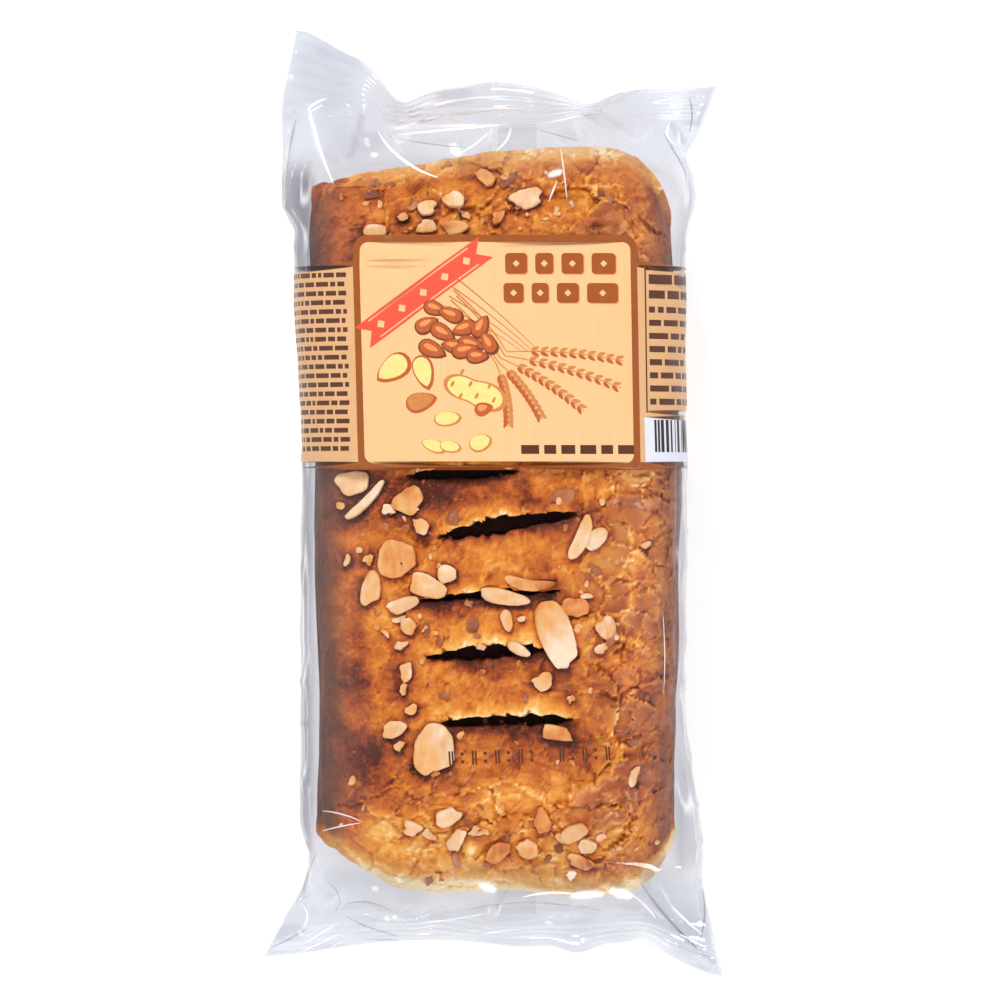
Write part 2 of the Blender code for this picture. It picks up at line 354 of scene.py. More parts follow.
def crumpled(top, low, u, rows):
    """Creases, crimp ribs and the slack of real film on both sheets."""
    n, m = top.shape[:2]
    ns, ng = rows["strip"], rows["gather"]
    index = np.arange(n)
    from_end = np.minimum(index, n - 1 - index)
    far = np.where(index > n // 2, 1.0, -1.0)[:, None]
    g = np.clip((ns + ng - from_end) / ng, 0.0, 1.0)[:, None]      # 1 from the strip on
    s = np.clip((ns - from_end) / ns, 0.0, 1.0)[:, None]           # 1 at the cut edge
    across = np.broadcast_to(u[None, :] * 46.0, (n, m))
    hold = smooth(1.0 - np.abs(u), 0.0, 0.06)[None, :]             # the side edges stay put
    nt, nl = grid_normals(top), -grid_normals(low)

    # in the strips both sheets move as one: the crimp's fine ribs and a slow wave
    flow = np.stack([across, np.broadcast_to(far * 40.0 + s * 6.0, (n, m)), np.zeros((n, m))], -1)
    ribs = (np.abs(np.sin(s * math.pi * 4.5)) - 0.5) * 0.42 * smooth(s, 0.0, 0.1) * smooth(s, 1.0, 0.93)
    ribs = ribs * (0.75 + 0.35 * noise(flow, (14.0, 30.0, 9.0), 4))
    cross = np.sin(across * 2.0 * math.pi / 1.3) * 0.03 * smooth(s, 0.05, 0.2)
    slow = (fbm(flow, (9.0, 14.0, 9.0), 2, 5) * 0.55
            + facets(across + 2.0 * noise(flow, 8.0, 6), flow[..., 1] + across * 0.1, (10.0, 5.0), 8) * 0.55)
    common = ribs + cross * smooth(s, 1.0, 0.9) + slow * smooth(s, 1.0, 0.6)

    for sheet, normal, side in ((top, nt, 1.0), (low, nl, -1.0)):
        y, z = sheet[..., 1], sheet[..., 2]
        p = np.stack([across, y * 0.30 + far * 9.0, np.full((n, m), side * 30.0)], -1)
        lean = p + np.stack([y * 0.22 * np.sign(across), 0 * y, 0 * y], -1)
        swell = smooth(g, 0.0, 0.35) * (1.0 - 0.35 * smooth(g, 0.8, 1.0))
        wx = across + y * 0.22 * np.sign(across) + 2.4 * noise(p, 9.0, 16)
        wy = y + 2.4 * noise(p, 9.0, 17)
        folds = (0.55 * (ridge(lean, (7.5, 6.0, 9.0), 11, 0.5) - 0.35)
                 + 0.95 * facets(wx, wy, (9.5, 11.0), 14 + int(side))
                 + 0.42 * facets(wx + 3.0, wy, (4.4, 5.2), 24 + int(side))
                 + 0.40 * fbm(p, (12.0, 5.0, 9.0), 2, 13))
        own = folds * swell
        # loose film down the sides, drawn flat where it touches the pastry or the surface
        wall = np.clip(np.abs(normal[..., 0]), 0.0, 1.0) ** 1.5 * (1.0 - g)
        q = np.stack([y, z * 1.3, np.sign(sheet[..., 0]) * 50.0], -1)
        own = own + wall * (0.55 * fbm(q, (15.0, 9.0, 20.0), 2, 21)
                            + 0.40 * (ridge(q + y[..., None] * 0.15, (10.0, 22.0, 20.0), 22, 0.35) - 0.3))
        if side > 0:
            flat = (1.0 - wall) * (1.0 - smooth(g, 0.0, 0.3))
            r = np.stack([sheet[..., 0], y, 0 * y], -1)
            bare = 1.0 - smooth(y, 2.0, 7.0) * smooth(y, 65.0, 60.0)
            own = own + flat * (0.14 * fbm(r, (13.0, 17.0, 9.0), 2, 31)
                                + 0.30 * bare * facets(sheet[..., 0] + 0.4 * y, y - 0.2 * sheet[..., 0],
                                                       (11.0, 13.0), 33))
            own = own + crease_lift(sheet[..., 0], y, FOLDS, tent=True) * smooth(g, -0.2, 0.2)
        else:
            own = own * smooth(z, FILM_BASE + 0.3, FILM_BASE + 5.0)
        lock = smooth(g, 0.78, 1.0)
        sheet += (normal * ((1.0 - lock) * own * hold)[..., None]
                  + nt * (lock * common * hold)[..., None])
    np.maximum(low[..., 2], FILM_BASE, out=low[..., 2])
    rim = np.ones((n, m), bool)
    rim[1:-1, 1:-1] = False
    gap = np.where(rim, 0.0, 0.12)
    top[..., 2] = np.maximum(top[..., 2], low[..., 2] + gap)
    low[rim] = top[rim]
    return top, low


film_u = np.sin(np.linspace(-1.0, 1.0, FILM_U + 1) * math.pi / 2.0 * 0.80) / math.sin(
    math.pi / 2.0 * 0.80)
film_top, film_low = crumpled(*skin(film_u, FILM_ROWS), film_u, FILM_ROWS)


def to_mm(x, y, z=15.0):
    """Layout units, thousandths of the frame seen from above, to X, Y at height z."""
    scale = (1115.0 - z) / 5000.0
    return 1.43 + (x - 500.0) * scale, 1.21 + (500.0 - y) * scale


# painted glints (bright spots) and broad painted shade in the film's folds (grey folds) on the upper sheet: start, end
# (layout units), width, strength
PAINTED_GLINTS = [
    (453, 148, 458, 157, 8.0, 0.80), (366, 138, 368, 146, 4.5, 0.5), (374, 156, 376, 158, 5.0, 0.7),
    (290, 76, 291, 77, 5.5, 0.8), (549, 180, 559, 176, 6.0, 0.8), (386, 919, 387, 921, 5.0, 0.8),
    (394, 918, 394, 920, 4.5, 0.7), (375, 884, 377, 886, 5.0, 0.7), (483, 882, 492, 886, 10.0, 0.9),
    (572, 892, 600, 892, 8.0, 0.9), (612, 888, 628, 894, 10.0, 0.95), (584, 944, 585, 948, 5.0, 0.8),
    (399, 875, 402, 878, 6.0, 0.4), (298, 936, 299, 938, 5.0, 0.9), (546, 924, 552, 926, 3.5, 0.5),
]
# painted shade: grey in the film's folds, broad over the wing
PAINTED_FOLD_SHADE = [
    (318, 62, 330, 92, 62.0, 0.42), (330, 92, 345, 140, 44.0, 0.22), (664, 905, 692, 940, 56.0, 0.46), (361, 116, 352, 158, 9.0, 0.8),
    (310, 90, 338, 84, 7.0, 0.3), (388, 131, 462, 144, 8.0, 0.25), (294, 130, 288, 190, 6.0, 0.4),
    (568, 112, 600, 104, 4.0, 0.3), (598, 110, 633, 130, 6.0, 0.35), (672, 122, 684, 140, 9.0, 0.8),
    (686, 160, 690, 205, 14.0, 0.35), (305, 872, 303, 892, 7.0, 0.9), (344, 908, 368, 902, 8.0, 0.5),
    (368, 902, 400, 914, 8.0, 0.5), (430, 920, 500, 905, 9.0, 0.45), (500, 905, 560, 908, 8.0, 0.45),
    (560, 908, 640, 908, 7.0, 0.40), (640, 872, 660, 908, 10.0, 0.55), (656, 904, 690, 946, 9.0, 0.9),
    (690, 946, 716, 968, 7.0, 0.8), (700, 880, 706, 925, 6.0, 0.45), (268, 958, 320, 956, 4.0, 0.5),
]
# creases pinched up in the film, white with painted highlight or grey with painted shade: width mm, how white, how
# grey, then the places passed
PINCHED = [
    (0.62, 1.0, 0.0, (309, 108), (315, 128), (319, 148), (328, 168), (335, 187)),
    (0.60, 0.9, 0.0, (307, 109), (314, 103), (326, 98)), (0.40, 0.8, 0.0, (311, 111), (322, 104)),
    (0.62, 0.9, 0.0, (378, 130), (390, 150), (410, 168), (438, 182)),
    (0.45, 0.8, 0.0, (488, 132), (474, 147), (462, 156)), (0.50, 0.6, 0.0, (511, 126), (508, 138), (496, 154)),
    (1.10, 0.8, 0.0, (396, 121), (420, 110), (455, 101), (500, 98)),
    (0.80, 0.8, 0.0, (394, 126), (430, 117), (470, 111), (522, 108)),
    (0.55, 0.8, 0.0, (396, 132), (450, 128), (512, 122)), (0.90, 0.6, 0.0, (408, 110), (425, 103), (445, 98)),
    (0.45, 0.7, 0.0, (600, 109), (614, 98), (634, 91)), (0.35, 0.5, 0.0, (536, 122), (570, 117), (600, 111)),
    (0.45, 0.5, 0.0, (640, 92), (672, 90), (712, 84)), (0.40, 0.5, 0.0, (672, 118), (668, 134), (678, 146)),
    (0.40, 0.5, 0.0, (548, 206), (552, 196), (556, 186)), (0.35, 0.4, 0.0, (560, 152), (563, 176), (566, 204)),
    (0.50, 0.9, 0.0, (300, 950), (318, 938), (338, 926)), (0.45, 0.9, 0.0, (296, 958), (318, 948), (340, 936)),
    (0.35, 0.7, 0.0, (306, 960), (328, 953), (344, 942)), (0.45, 0.7, 0.0, (301, 906), (306, 918), (299, 934)),
    (0.35, 0.6, 0.0, (420, 926), (456, 922), (486, 914)), (0.45, 0.7, 0.0, (480, 938), (518, 931)),
    (0.60, 0.8, 0.0, (522, 894), (546, 889), (574, 890)), (0.40, 0.6, 0.0, (630, 892), (646, 906), (656, 920)),
    (0.45, 0.8, 0.0, (672, 906), (688, 924), (704, 938)), (0.60, 0.9, 0.0, (682, 938), (700, 948), (708, 952)),
    (0.30, 0.5, 0.0, (324, 808), (345, 811), (364, 818)), (0.30, 0.5, 0.0, (324, 828), (346, 822), (362, 819)),
    (0.25, 0.4, 0.0, (661, 610), (663, 650), (662, 692)),
    (0.50, 0.0, 0.9, (296, 118), (290, 150), (287, 190)), (0.45, 0.0, 0.8, (390, 135), (430, 145), (466, 150)),
    (0.35, 0.0, 0.7, (540, 128), (556, 134), (578, 143)), (0.40, 0.0, 0.9, (664, 132), (674, 152), (686, 178)),
    (0.40, 0.0, 0.8, (690, 96), (693, 112), (690, 130)), (0.45, 0.0, 0.8, (346, 904), (364, 900), (392, 912)),
    (0.40, 0.0, 0.7, (345, 918), (370, 930), (396, 941)), (0.40, 0.0, 0.6, (360, 943), (430, 946), (500, 946)),
    (0.45, 0.0, 0.7, (470, 910), (530, 900), (600, 912)), (0.60, 0.0, 0.9, (640, 880), (662, 912), (700, 954)),
    (0.40, 0.0, 0.8, (700, 882), (706, 918), (700, 950)), (0.40, 0.0, 0.8, (318, 850), (310, 868), (303, 890)),
    (0.35, 0.0, 0.6, (330, 880), (340, 898), (334, 914)), (0.35, 0.0, 0.7, (268, 953), (290, 942), (306, 932)),
]


def marked(grid, marks):
    x, y = grid[..., 0], grid[..., 1]
    total = np.zeros(x.shape)
    for x0, y0, x1, y1, width, strength in marks:
        (ax, ay), (bx, by) = to_mm(x0, y0, 18.0), to_mm(x1, y1, 18.0)
        dx, dy = bx - ax, by - ay
        t = np.clip(((x - ax) * dx + (y - ay) * dy) / max(dx * dx + dy * dy, 1e-6), 0.0, 1.0)
        off = np.hypot(x - ax - t * dx, y - ay - t * dy)
        half = max(width * 0.11, 0.30) * (0.6 + 0.4 * np.sin(math.pi * np.clip(t, 0.1, 0.9)))
        total = np.maximum(total, strength * (1.0 - smooth(off, half * 0.35, half * 1.6)))
    return total


def bent(grid):
    """How sharply a sheet is folded at each of its points, radians a millimetre."""
    n = grid_normals(grid)
    turn = np.zeros(grid.shape[:2])
    for axis in (0, 1):
        step = np.linalg.norm(np.diff(grid, axis=axis), axis=-1)
        bend = np.linalg.norm(np.diff(n, axis=axis), axis=-1) / np.maximum(step, 0.2)
        if axis == 0:
            turn[1:], turn[:-1] = np.maximum(turn[1:], bend), np.maximum(turn[:-1], bend)
        else:
            turn[:, 1:], turn[:, :-1] = np.maximum(turn[:, 1:], bend), np.maximum(turn[:, :-1], bend)
    return turn


def film_values(top, low, rows):
    """For each point of the two sheets: white along its folds (painted highlight, partly the film's whitening at sharp
    bends), grey in its folds and down its left wall (painted shade), and how loose it is: 0 where it lies on the
    pastry, 1 where two layers lie over each other."""
    n, m = top.shape[:2]
    index = np.arange(n)
    from_end = np.minimum(index, n - 1 - index)
    g = np.clip((rows["strip"] + rows["gather"] - from_end) / rows["gather"], 0.0, 1.0)[:, None]
    found = []
    for sheet, upper in ((top, True), (low, False)):
        x, y, z = sheet[..., 0], sheet[..., 1], sheet[..., 2]
        p = np.stack([x, y, z], -1)
        patchy = 0.5 + 0.5 * noise(p, 7.0, 191)
        # white along sharp bends: partly the film's whitening there, partly painted highlight on the crests
        white = smooth(bent(sheet), 0.30, 1.30) * (0.10 + 0.45 * patchy) * smooth(g, 0.0, 0.2)
        # down the side walls: painted highlight streaks and painted shade, the shade heavier on the left
        side = smooth(np.abs(x), 38.5, 41.5) * (1.0 - smooth(g, 0.0, 0.3))
        streak = np.stack([z * 1.4, y * 0.20, np.sign(x) * 40.0], -1)
        white = np.maximum(white, side * 0.55 * smooth(ridge(streak, (3.0, 5.0, 9.0), 192, 0.30), 0.55, 1.0))
        grey = side * np.where(x < 0, 1.05, 0.20) + side * np.where(x < 0, 0.30, 0.26) * smooth(
            noise(streak, (4.5, 4.0, 9.0), 193), -0.1, 0.6)
        grey = np.maximum(grey, 0.24 * smooth(noise(p, (9.0, 4.5, 30.0), 194), 0.15, 0.7) * smooth(g, 0.1, 0.5))
        loose = np.maximum(smooth(g, 0.0, 0.25), side) if upper else np.ones((n, m))
        if upper:
            # the painted glints and the painted shade in folds at their set places
            white = np.maximum(white, marked(sheet, PAINTED_GLINTS))
            grey = np.maximum(grey, 0.68 * marked(sheet, PAINTED_FOLD_SHADE))
        found.append((white, grey, loose))
    values = {}
    for k, name in enumerate(("white", "grey", "loose")):
        a, b = found[0][k], found[1][k]
        b = b * (0.5 if name == "white" else 1.0)
        values[name] = np.clip(np.concatenate([a.reshape(-1), b[1:-1, 1:-1].reshape(-1)]), 0.0, 1.0)
    return values


def film_faces(top, low):
    n, m = top.shape[:2]
    count = n * m
    upper = np.arange(count).reshape(n, m)
    lower = np.full((n, m), -1)
    lower[0], lower[-1], lower[:, 0], lower[:, -1] = upper[0], upper[-1], upper[:, 0], upper[:, -1]
    inside = np.arange((n - 2) * (m - 2)).reshape(n - 2, m - 2)
    lower[1:-1, 1:-1] = count + inside
    verts = np.concatenate([top.reshape(-1, 3), low[1:-1, 1:-1].reshape(-1, 3)])
    faces = []
    for grid, order in ((upper, 1), (lower, -1)):
        a, b, c, d = grid[:-1, :-1], grid[:-1, 1:], grid[1:, 1:], grid[1:, :-1]
        quads = np.stack([a, b, c, d], -1).reshape(-1, 4)[:, ::order]
        if order < 0:
            # a corner cell of the lower sheet would share all four corners: two halves do not
            keep = np.ones(len(quads), bool)
            for i, j in ((0, 0), (0, m - 2), (n - 2, 0), (n - 2, m - 2)):
                keep[i * (m - 1) + j] = False
                ring = [int(a[i, j]), int(b[i, j]), int(c[i, j]), int(d[i, j])]
                if (i == 0) == (j == 0):
                    halves = (ring[0], ring[1], ring[2]), (ring[0], ring[2], ring[3])
                else:
                    halves = (ring[0], ring[1], ring[3]), (ring[1], ring[2], ring[3])
                faces += [half[::-1] for half in halves]
            quads = quads[keep]
        faces += [tuple(q) for q in quads.tolist()]
    return verts, faces


film_verts, film_polys = film_faces(film_top, film_low)
film_tree = BVHTree.FromPolygons(film_verts.tolist(), film_polys)


def pinched_lines(tree):
    """Each crease as a slim three-sided ridge lying on the film, fading out at both ends, carrying its painted
    highlight (white) or painted shade (grey).
    """
    verts, faces, white, grey = [], [], [], []
    for wide, how_white, how_grey, *places in PINCHED:
        knots = np.array([to_mm(x, y, 18.0) for x, y in places])
        at = np.concatenate([[0.0], np.cumsum(np.hypot(*np.diff(knots, axis=0).T))])
        steps = max(6, int(at[-1] / 0.7))
        s = np.linspace(0.0, at[-1], steps + 1)
        degree = min(2, len(knots) - 1)
        path = np.stack([np.polyval(np.polyfit(at, knots[:, k], degree), s) for k in (0, 1)], -1)
        way = np.gradient(path, axis=0)
        way = way / np.linalg.norm(way, axis=1, keepdims=True)
        out = np.stack([-way[:, 1], way[:, 0]], -1)
        half = wide * 0.5 * (0.18 + 0.82 * np.sin(math.pi * np.clip(s / at[-1], 0.03, 0.97)) ** 0.7)
        rows = []
        for k in range(steps + 1):
            row = []
            for way_out, rise in ((1.0, 0.02), (0.0, 0.05 + 0.30 * half[k]), (-1.0, 0.02)):
                q = path[k] + out[k] * way_out * half[k]
                z = drop(tree, q[0], q[1], 60.0, -1.0)
                row.append(None if z is None else (q[0], q[1], z + rise))
            if None in row:
                if len(rows) > 3:
                    break
                rows = []
                continue
            rows.append(row)
        if len(rows) < 4:
            continue
        base = len(verts)
        for row in rows:
            verts += row
        for k in range(len(rows) - 1):
            left, top, right = base + 3 * k, base + 3 * k + 1, base + 3 * k + 2
            faces += [(left, top, top + 3, left + 3), (top, right, right + 3, top + 3),
                      (right, left, left + 3, right + 3)]
        last = base + 3 * (len(rows) - 1)
        faces += [(base, base + 2, base + 1), (last, last + 1, last + 2)]
        white += [how_white] * (3 * len(rows))
        grey += [how_grey * 0.62] * (3 * len(rows))
    count = len(verts)
    return np.array(verts), faces, {"white": np.array(white), "grey": np.array(grey), "loose": np.zeros(count)}


def drop(tree, x, y, z0, way):
    """Height at which a line from z0 meets the tree going up or down, or None."""
    hit = tree.ray_cast(Vector((x, y, z0)), Vector((0.0, 0.0, way)))
    return None if hit[0] is None else hit[0].z


# =================================================================================
# the pastry
# =================================================================================
WAIST, CROWN = 13.0, 33.4
PASTRY_P, PASTRY_Q = 190, 326
LOW_RINGS = 18
# slits between the strips: centre, half length, half width, slope
SLITS = [(-3.0, 47.4, 12.0, 1.3, 0.12), (0.0, 34.0, 13.0, 1.3, 0.05),
         (-2.0, 20.6, 12.5, 1.4, 0.10), (-6.6, 7.0, 12.0, 1.55, 0.05),
         (3.0, -4.2, 15.0, 1.75, 0.17), (-1.0, -19.4, 15.2, 1.05, 0.07),
         (-1.4, -31.9, 13.2, 1.50, 0.07), (3.0, -46.7, 14.2, 1.40, 0.03)]


def plan(p, q):
    """The pastry's outline stretched over the square: p across, q along, both -1..1."""
    y = -3.3 + 81.4 * q
    left = -38.4 - 1.3 * smooth(y, -75, 70) + 0.35 * np.sin(y / 11.0) - 0.5 * bump(y, 66, 8)
    right = 40.2 + 0.8 * bump(y, 5, 32) - 1.2 * smooth(y, 40, 72) - 0.9 * smooth(y, -55, -75) \
        + 0.25 * np.sin(y / 7.0)
    x = left + (right - left) * (p + 1.0) / 2.0
    chipped = np.stack([x, np.sign(q) * 9.0, np.zeros_like(x)], -1)
    chipped = (0.30 * noise(chipped, 4.2, 31) + 0.22 * noise(chipped, 1.5, 32)) * smooth(np.abs(q), 0.9, 1.0)
    high = 78.3 - 8.2 * (np.clip(12.0 - x, 0, 60) / 51.7) ** 1.35 \
        - 19.0 * (np.clip(x - 19.0, 0, 60) / 21.5) ** 4
    lowest = -84.6 + 12.5 * (np.clip(-10.0 - x, 0, 60) / 28.5) ** 2.2 \
        + 14.5 * (np.clip(x - 20.0, 0, 60) / 20.5) ** 4 - 0.9 * bump(x, 19, 9) + 0.7 * bump(x, 2, 9)
    return x, lowest + (high - lowest) * (q + 1.0) / 2.0 + chipped


def arc_spaced(count, radius, height, power):
    """Places -1..1 across a superellipse arch, evenly spaced along the arch itself."""
    t = np.linspace(math.pi, 0.0, 2001)
    c, s = np.cos(t), np.abs(np.sin(t))
    x = np.sign(c) * np.abs(c) ** (2.0 / power)
    z = s ** (2.0 / power)
    run = np.concatenate([[0.0], np.cumsum(np.hypot(np.diff(x) * radius, np.diff(z) * height))])
    at = np.interp(np.linspace(0.0, run[-1], count + 1), run, x)
    at[0], at[-1] = -1.0, 1.0
    return at


CROSS_POWER, END_POWER = 3.3, 4.0


def slit_lines(x, y, grow=1.0):
    """For each slit: offset from its line, how open it is there, and its half width."""
    for cx, cy, half, wide, slope in SLITS:
        t = (x - cx) / (half * grow)
        d = y - (cy + slope * (x - cx) + 0.5 * (1.0 - np.clip(t * t, 0, 1.5)))
        openness = np.clip(1.0 - t * t, 0.0, 1.0)
        yield d, openness, wide, t


def ragged(x, cy):
    line = np.stack([x, np.full_like(x, cy * 3.0), np.zeros_like(x)], -1)
    return 0.36 * noise(line, 2.6, 61) + 0.42 * noise(line, 1.15, 62)


def slit_edge(x, openness, wide, cy):
    w = wide * openness ** 0.50
    return w + ragged(x, cy) * smooth(openness, 0.02, 0.35) * 0.9


def gather_rows(x, y):
    """Pulls the grid's rows together at the edges of each slit, so that they are crisp."""
    out = y.copy()
    span = 5.6
    table = np.linspace(-span, span, 281)
    for (cx, cy, half, wide, slope) in SLITS:
        for j in range(x.shape[1]):
            t = (x[:, j] - cx) / half
            inside = np.abs(t) < 1.0
            if not inside.any():
                continue
            xm = x[inside, j].mean()
            tm = float(np.clip((xm - cx) / half, -1, 1))
            openness = max(0.0, 1.0 - tm * tm)
            w = float(slit_edge(np.array([xm]), np.array([openness]), wide, cy)[0])
            line = cy + slope * (xm - cx) + 0.5 * openness
            d0 = y[:, j] - line
            near = np.abs(d0) < span
            density = 1.0 + 7.0 * openness ** 0.3 * (bump(table, w, 0.32) + bump(table, -w, 0.32))
            run = np.concatenate([[0.0], np.cumsum((density[1:] + density[:-1]) / 2.0)])
            run = run / run[-1] * 2.0 * span - span
            out[near, j] = line + np.interp(d0[near], run, table)
    return out


def crust(x, y, wall):
    """Relief of the crust, mm, with how baked, how deep and how flaky it is there."""
    z0 = np.zeros_like(x)
    p = np.stack([x, y, z0], -1)
    relief = 0.8 * fbm(p, (16.0, 13.0, 9.0), 2, 41)
    lipness, under_lip_shade, depth, crown, valley_shade = z0.copy(), z0.copy(), z0.copy(), z0.copy(), z0.copy()
    for (d, openness, wide, t), (cx, cy, half, w0, slope) in zip(slit_lines(x, y), SLITS):
        w = slit_edge(x, openness, wide, cy)
        reach = np.clip(1.0 - np.abs(t) / 1.25, 0.0, 1.0) ** 0.5
        above, under = d - w, -d - w
        on_lip, on_low = above > -0.25, under > -0.25
        above, under = np.clip(above, 0, None), np.clip(under, 0, None)
        relief = relief + 1.35 * np.where(on_lip, np.exp(-above / 2.6), 0.0) * reach
        relief = relief - 1.35 * np.where(on_low, np.exp(-under / 2.2), 0.0) * reach
        lipness = np.maximum(lipness, np.where(on_lip, np.exp(-above / 1.1), 0.0) * smooth(openness, 0.0, 0.25))
        crown = np.maximum(crown, np.where(on_lip, np.exp(-above / 4.2), 0.0) * reach)
        # painted shade just below each slit's lip, and broader in the valley under it
        under_lip_shade = np.maximum(under_lip_shade, np.where(on_low, np.exp(-under / 1.5), 0.0) * smooth(openness, 0.0, 0.2))
        valley_shade = np.maximum(valley_shade, np.where(on_low, np.exp(-under / 3.6), 0.0) * reach)
        above, under = d - w, -d - w
        inside = smooth(-above + 0.10, 0.0, 0.30) * smooth(-under + 0.10, 0.0, 0.30) * (openness > 0.0)
        depth = np.maximum(depth, inside * (0.25 + 0.75 * smooth(openness, 0.0, 0.3)))
    solid = 1.0 - depth

    # flakes that lie over each other, strongest down the right side and at both ends
    warp = p + np.stack([2.0 * noise(p, 7.0, 43) + 0.7 * noise(p, 2.2, 38),
                         2.0 * noise(p, 7.0, 44) + 0.7 * noise(p, 2.2, 39), z0], -1)
    flaky = np.clip(0.42 + 0.75 * smooth(x, 15, 30) + 0.45 * smooth(y, 50, 64)
                    + 0.45 * smooth(y, -54, -68) - 0.15 * smooth(x, -18, -30), 0.0, 1.25)
    big, big_rim, big_flake_shade, big_number = plates(warp, (12.5, 8.0), 301)
    mid, mid_rim, mid_flake_shade, mid_number = plates(warp + 40.0, (5.6, 4.0), 302)
    relief = relief + (1.60 * big + 0.75 * mid + 0.25 * mid_rim + 0.45 * big_rim) * flaky * solid
    field = 0.5 + 0.5 * fbm(warp, (13.0, 9.0, 9.0), 3, 45)
    relief = relief + (terrace(field, 8.0, 0.24) - field) * 4.2 * flaky * solid
    # thin crests that wander over the flakes
    crest = ridge(warp, (8.0, 11.0, 9.0), 57, 0.13) * (0.25 + 0.75 * smooth(x, 12, 24)) * smooth(
        noise(p, 9.0, 58), -0.5, 0.1)
    relief = relief + 0.55 * crest * solid
    relief = relief + 0.30 * fbm(p, 2.8, 2, 48) + 0.12 * noise(p, 1.1, 49)
    # pits and blisters
    pit = smooth(noise(warp, (5.5, 4.0, 9.0), 50), 0.45, 0.85)
    relief = relief - 0.9 * pit * solid

    # a soft fold along the left side
    fold = x + 29.5 + 1.6 * np.sin(y / 17.0) + 1.2 * noise(p, 14.0, 51)
    relief = relief - 0.8 * bump(fold, 0.0, 1.8) * (1.0 - smooth(y, 50, 66))
    edge_of_flake = smooth(np.mod(field * 9.0, 1.0), 0.0, 0.22) * smooth(np.mod(field * 9.0, 1.0), 0.45, 0.22)
    # bake carries painted shade too: darker below each slit's lip and in the valley under it, in a band below the slit
    # at the printed band's edge, in pits, in the side fold and where a flake runs under another
    bake = (0.49 + 0.17 * fbm(p, (13.0, 9.0, 9.0), 2, 52) + 0.17 * fbm(p, (5.0, 3.8, 4.0), 2, 53)
            + 0.27 * smooth(x, -19, -35) + 0.14 * smooth(x, 26, 40) - 0.26 * crest
            - 0.28 * smooth(y, -62, -74) + 0.31 * bump(y + 0.12 * x, 1.2, 3.6) * smooth(np.abs(x), 30, 16)
            + 0.15 * smooth(y, -47.5, -49.0) * smooth(y, -62, -58) + 0.11 * bump(y, -39.5, 4.5) - 0.09 * bump(y, -11.0, 4.5)
            - 0.08 * bump(y, -25.5, 3.5)
            - 0.34 * lipness - 0.16 * crown + 0.40 * under_lip_shade + 0.26 * valley_shade
            - 0.16 * edge_of_flake * flaky + 0.16 * pit + 0.10 * bump(fold, 0.0, 2.4)
            + flaky * (-0.42 * big_rim + 0.30 * big_flake_shade - 0.26 * mid_rim + 0.20 * mid_flake_shade
                       + 0.12 * big_number + 0.06 * mid_number))
    sleek = flaky * smooth(big_number + 0.35 * noise(warp, 6.0, 59), 0.20, 0.50) * smooth(x, 6, 24) \
        * (1.0 - big_rim) * (1.0 - crest)
    return relief, np.clip(bake, 0.02, 1.0), depth, lipness, sleek


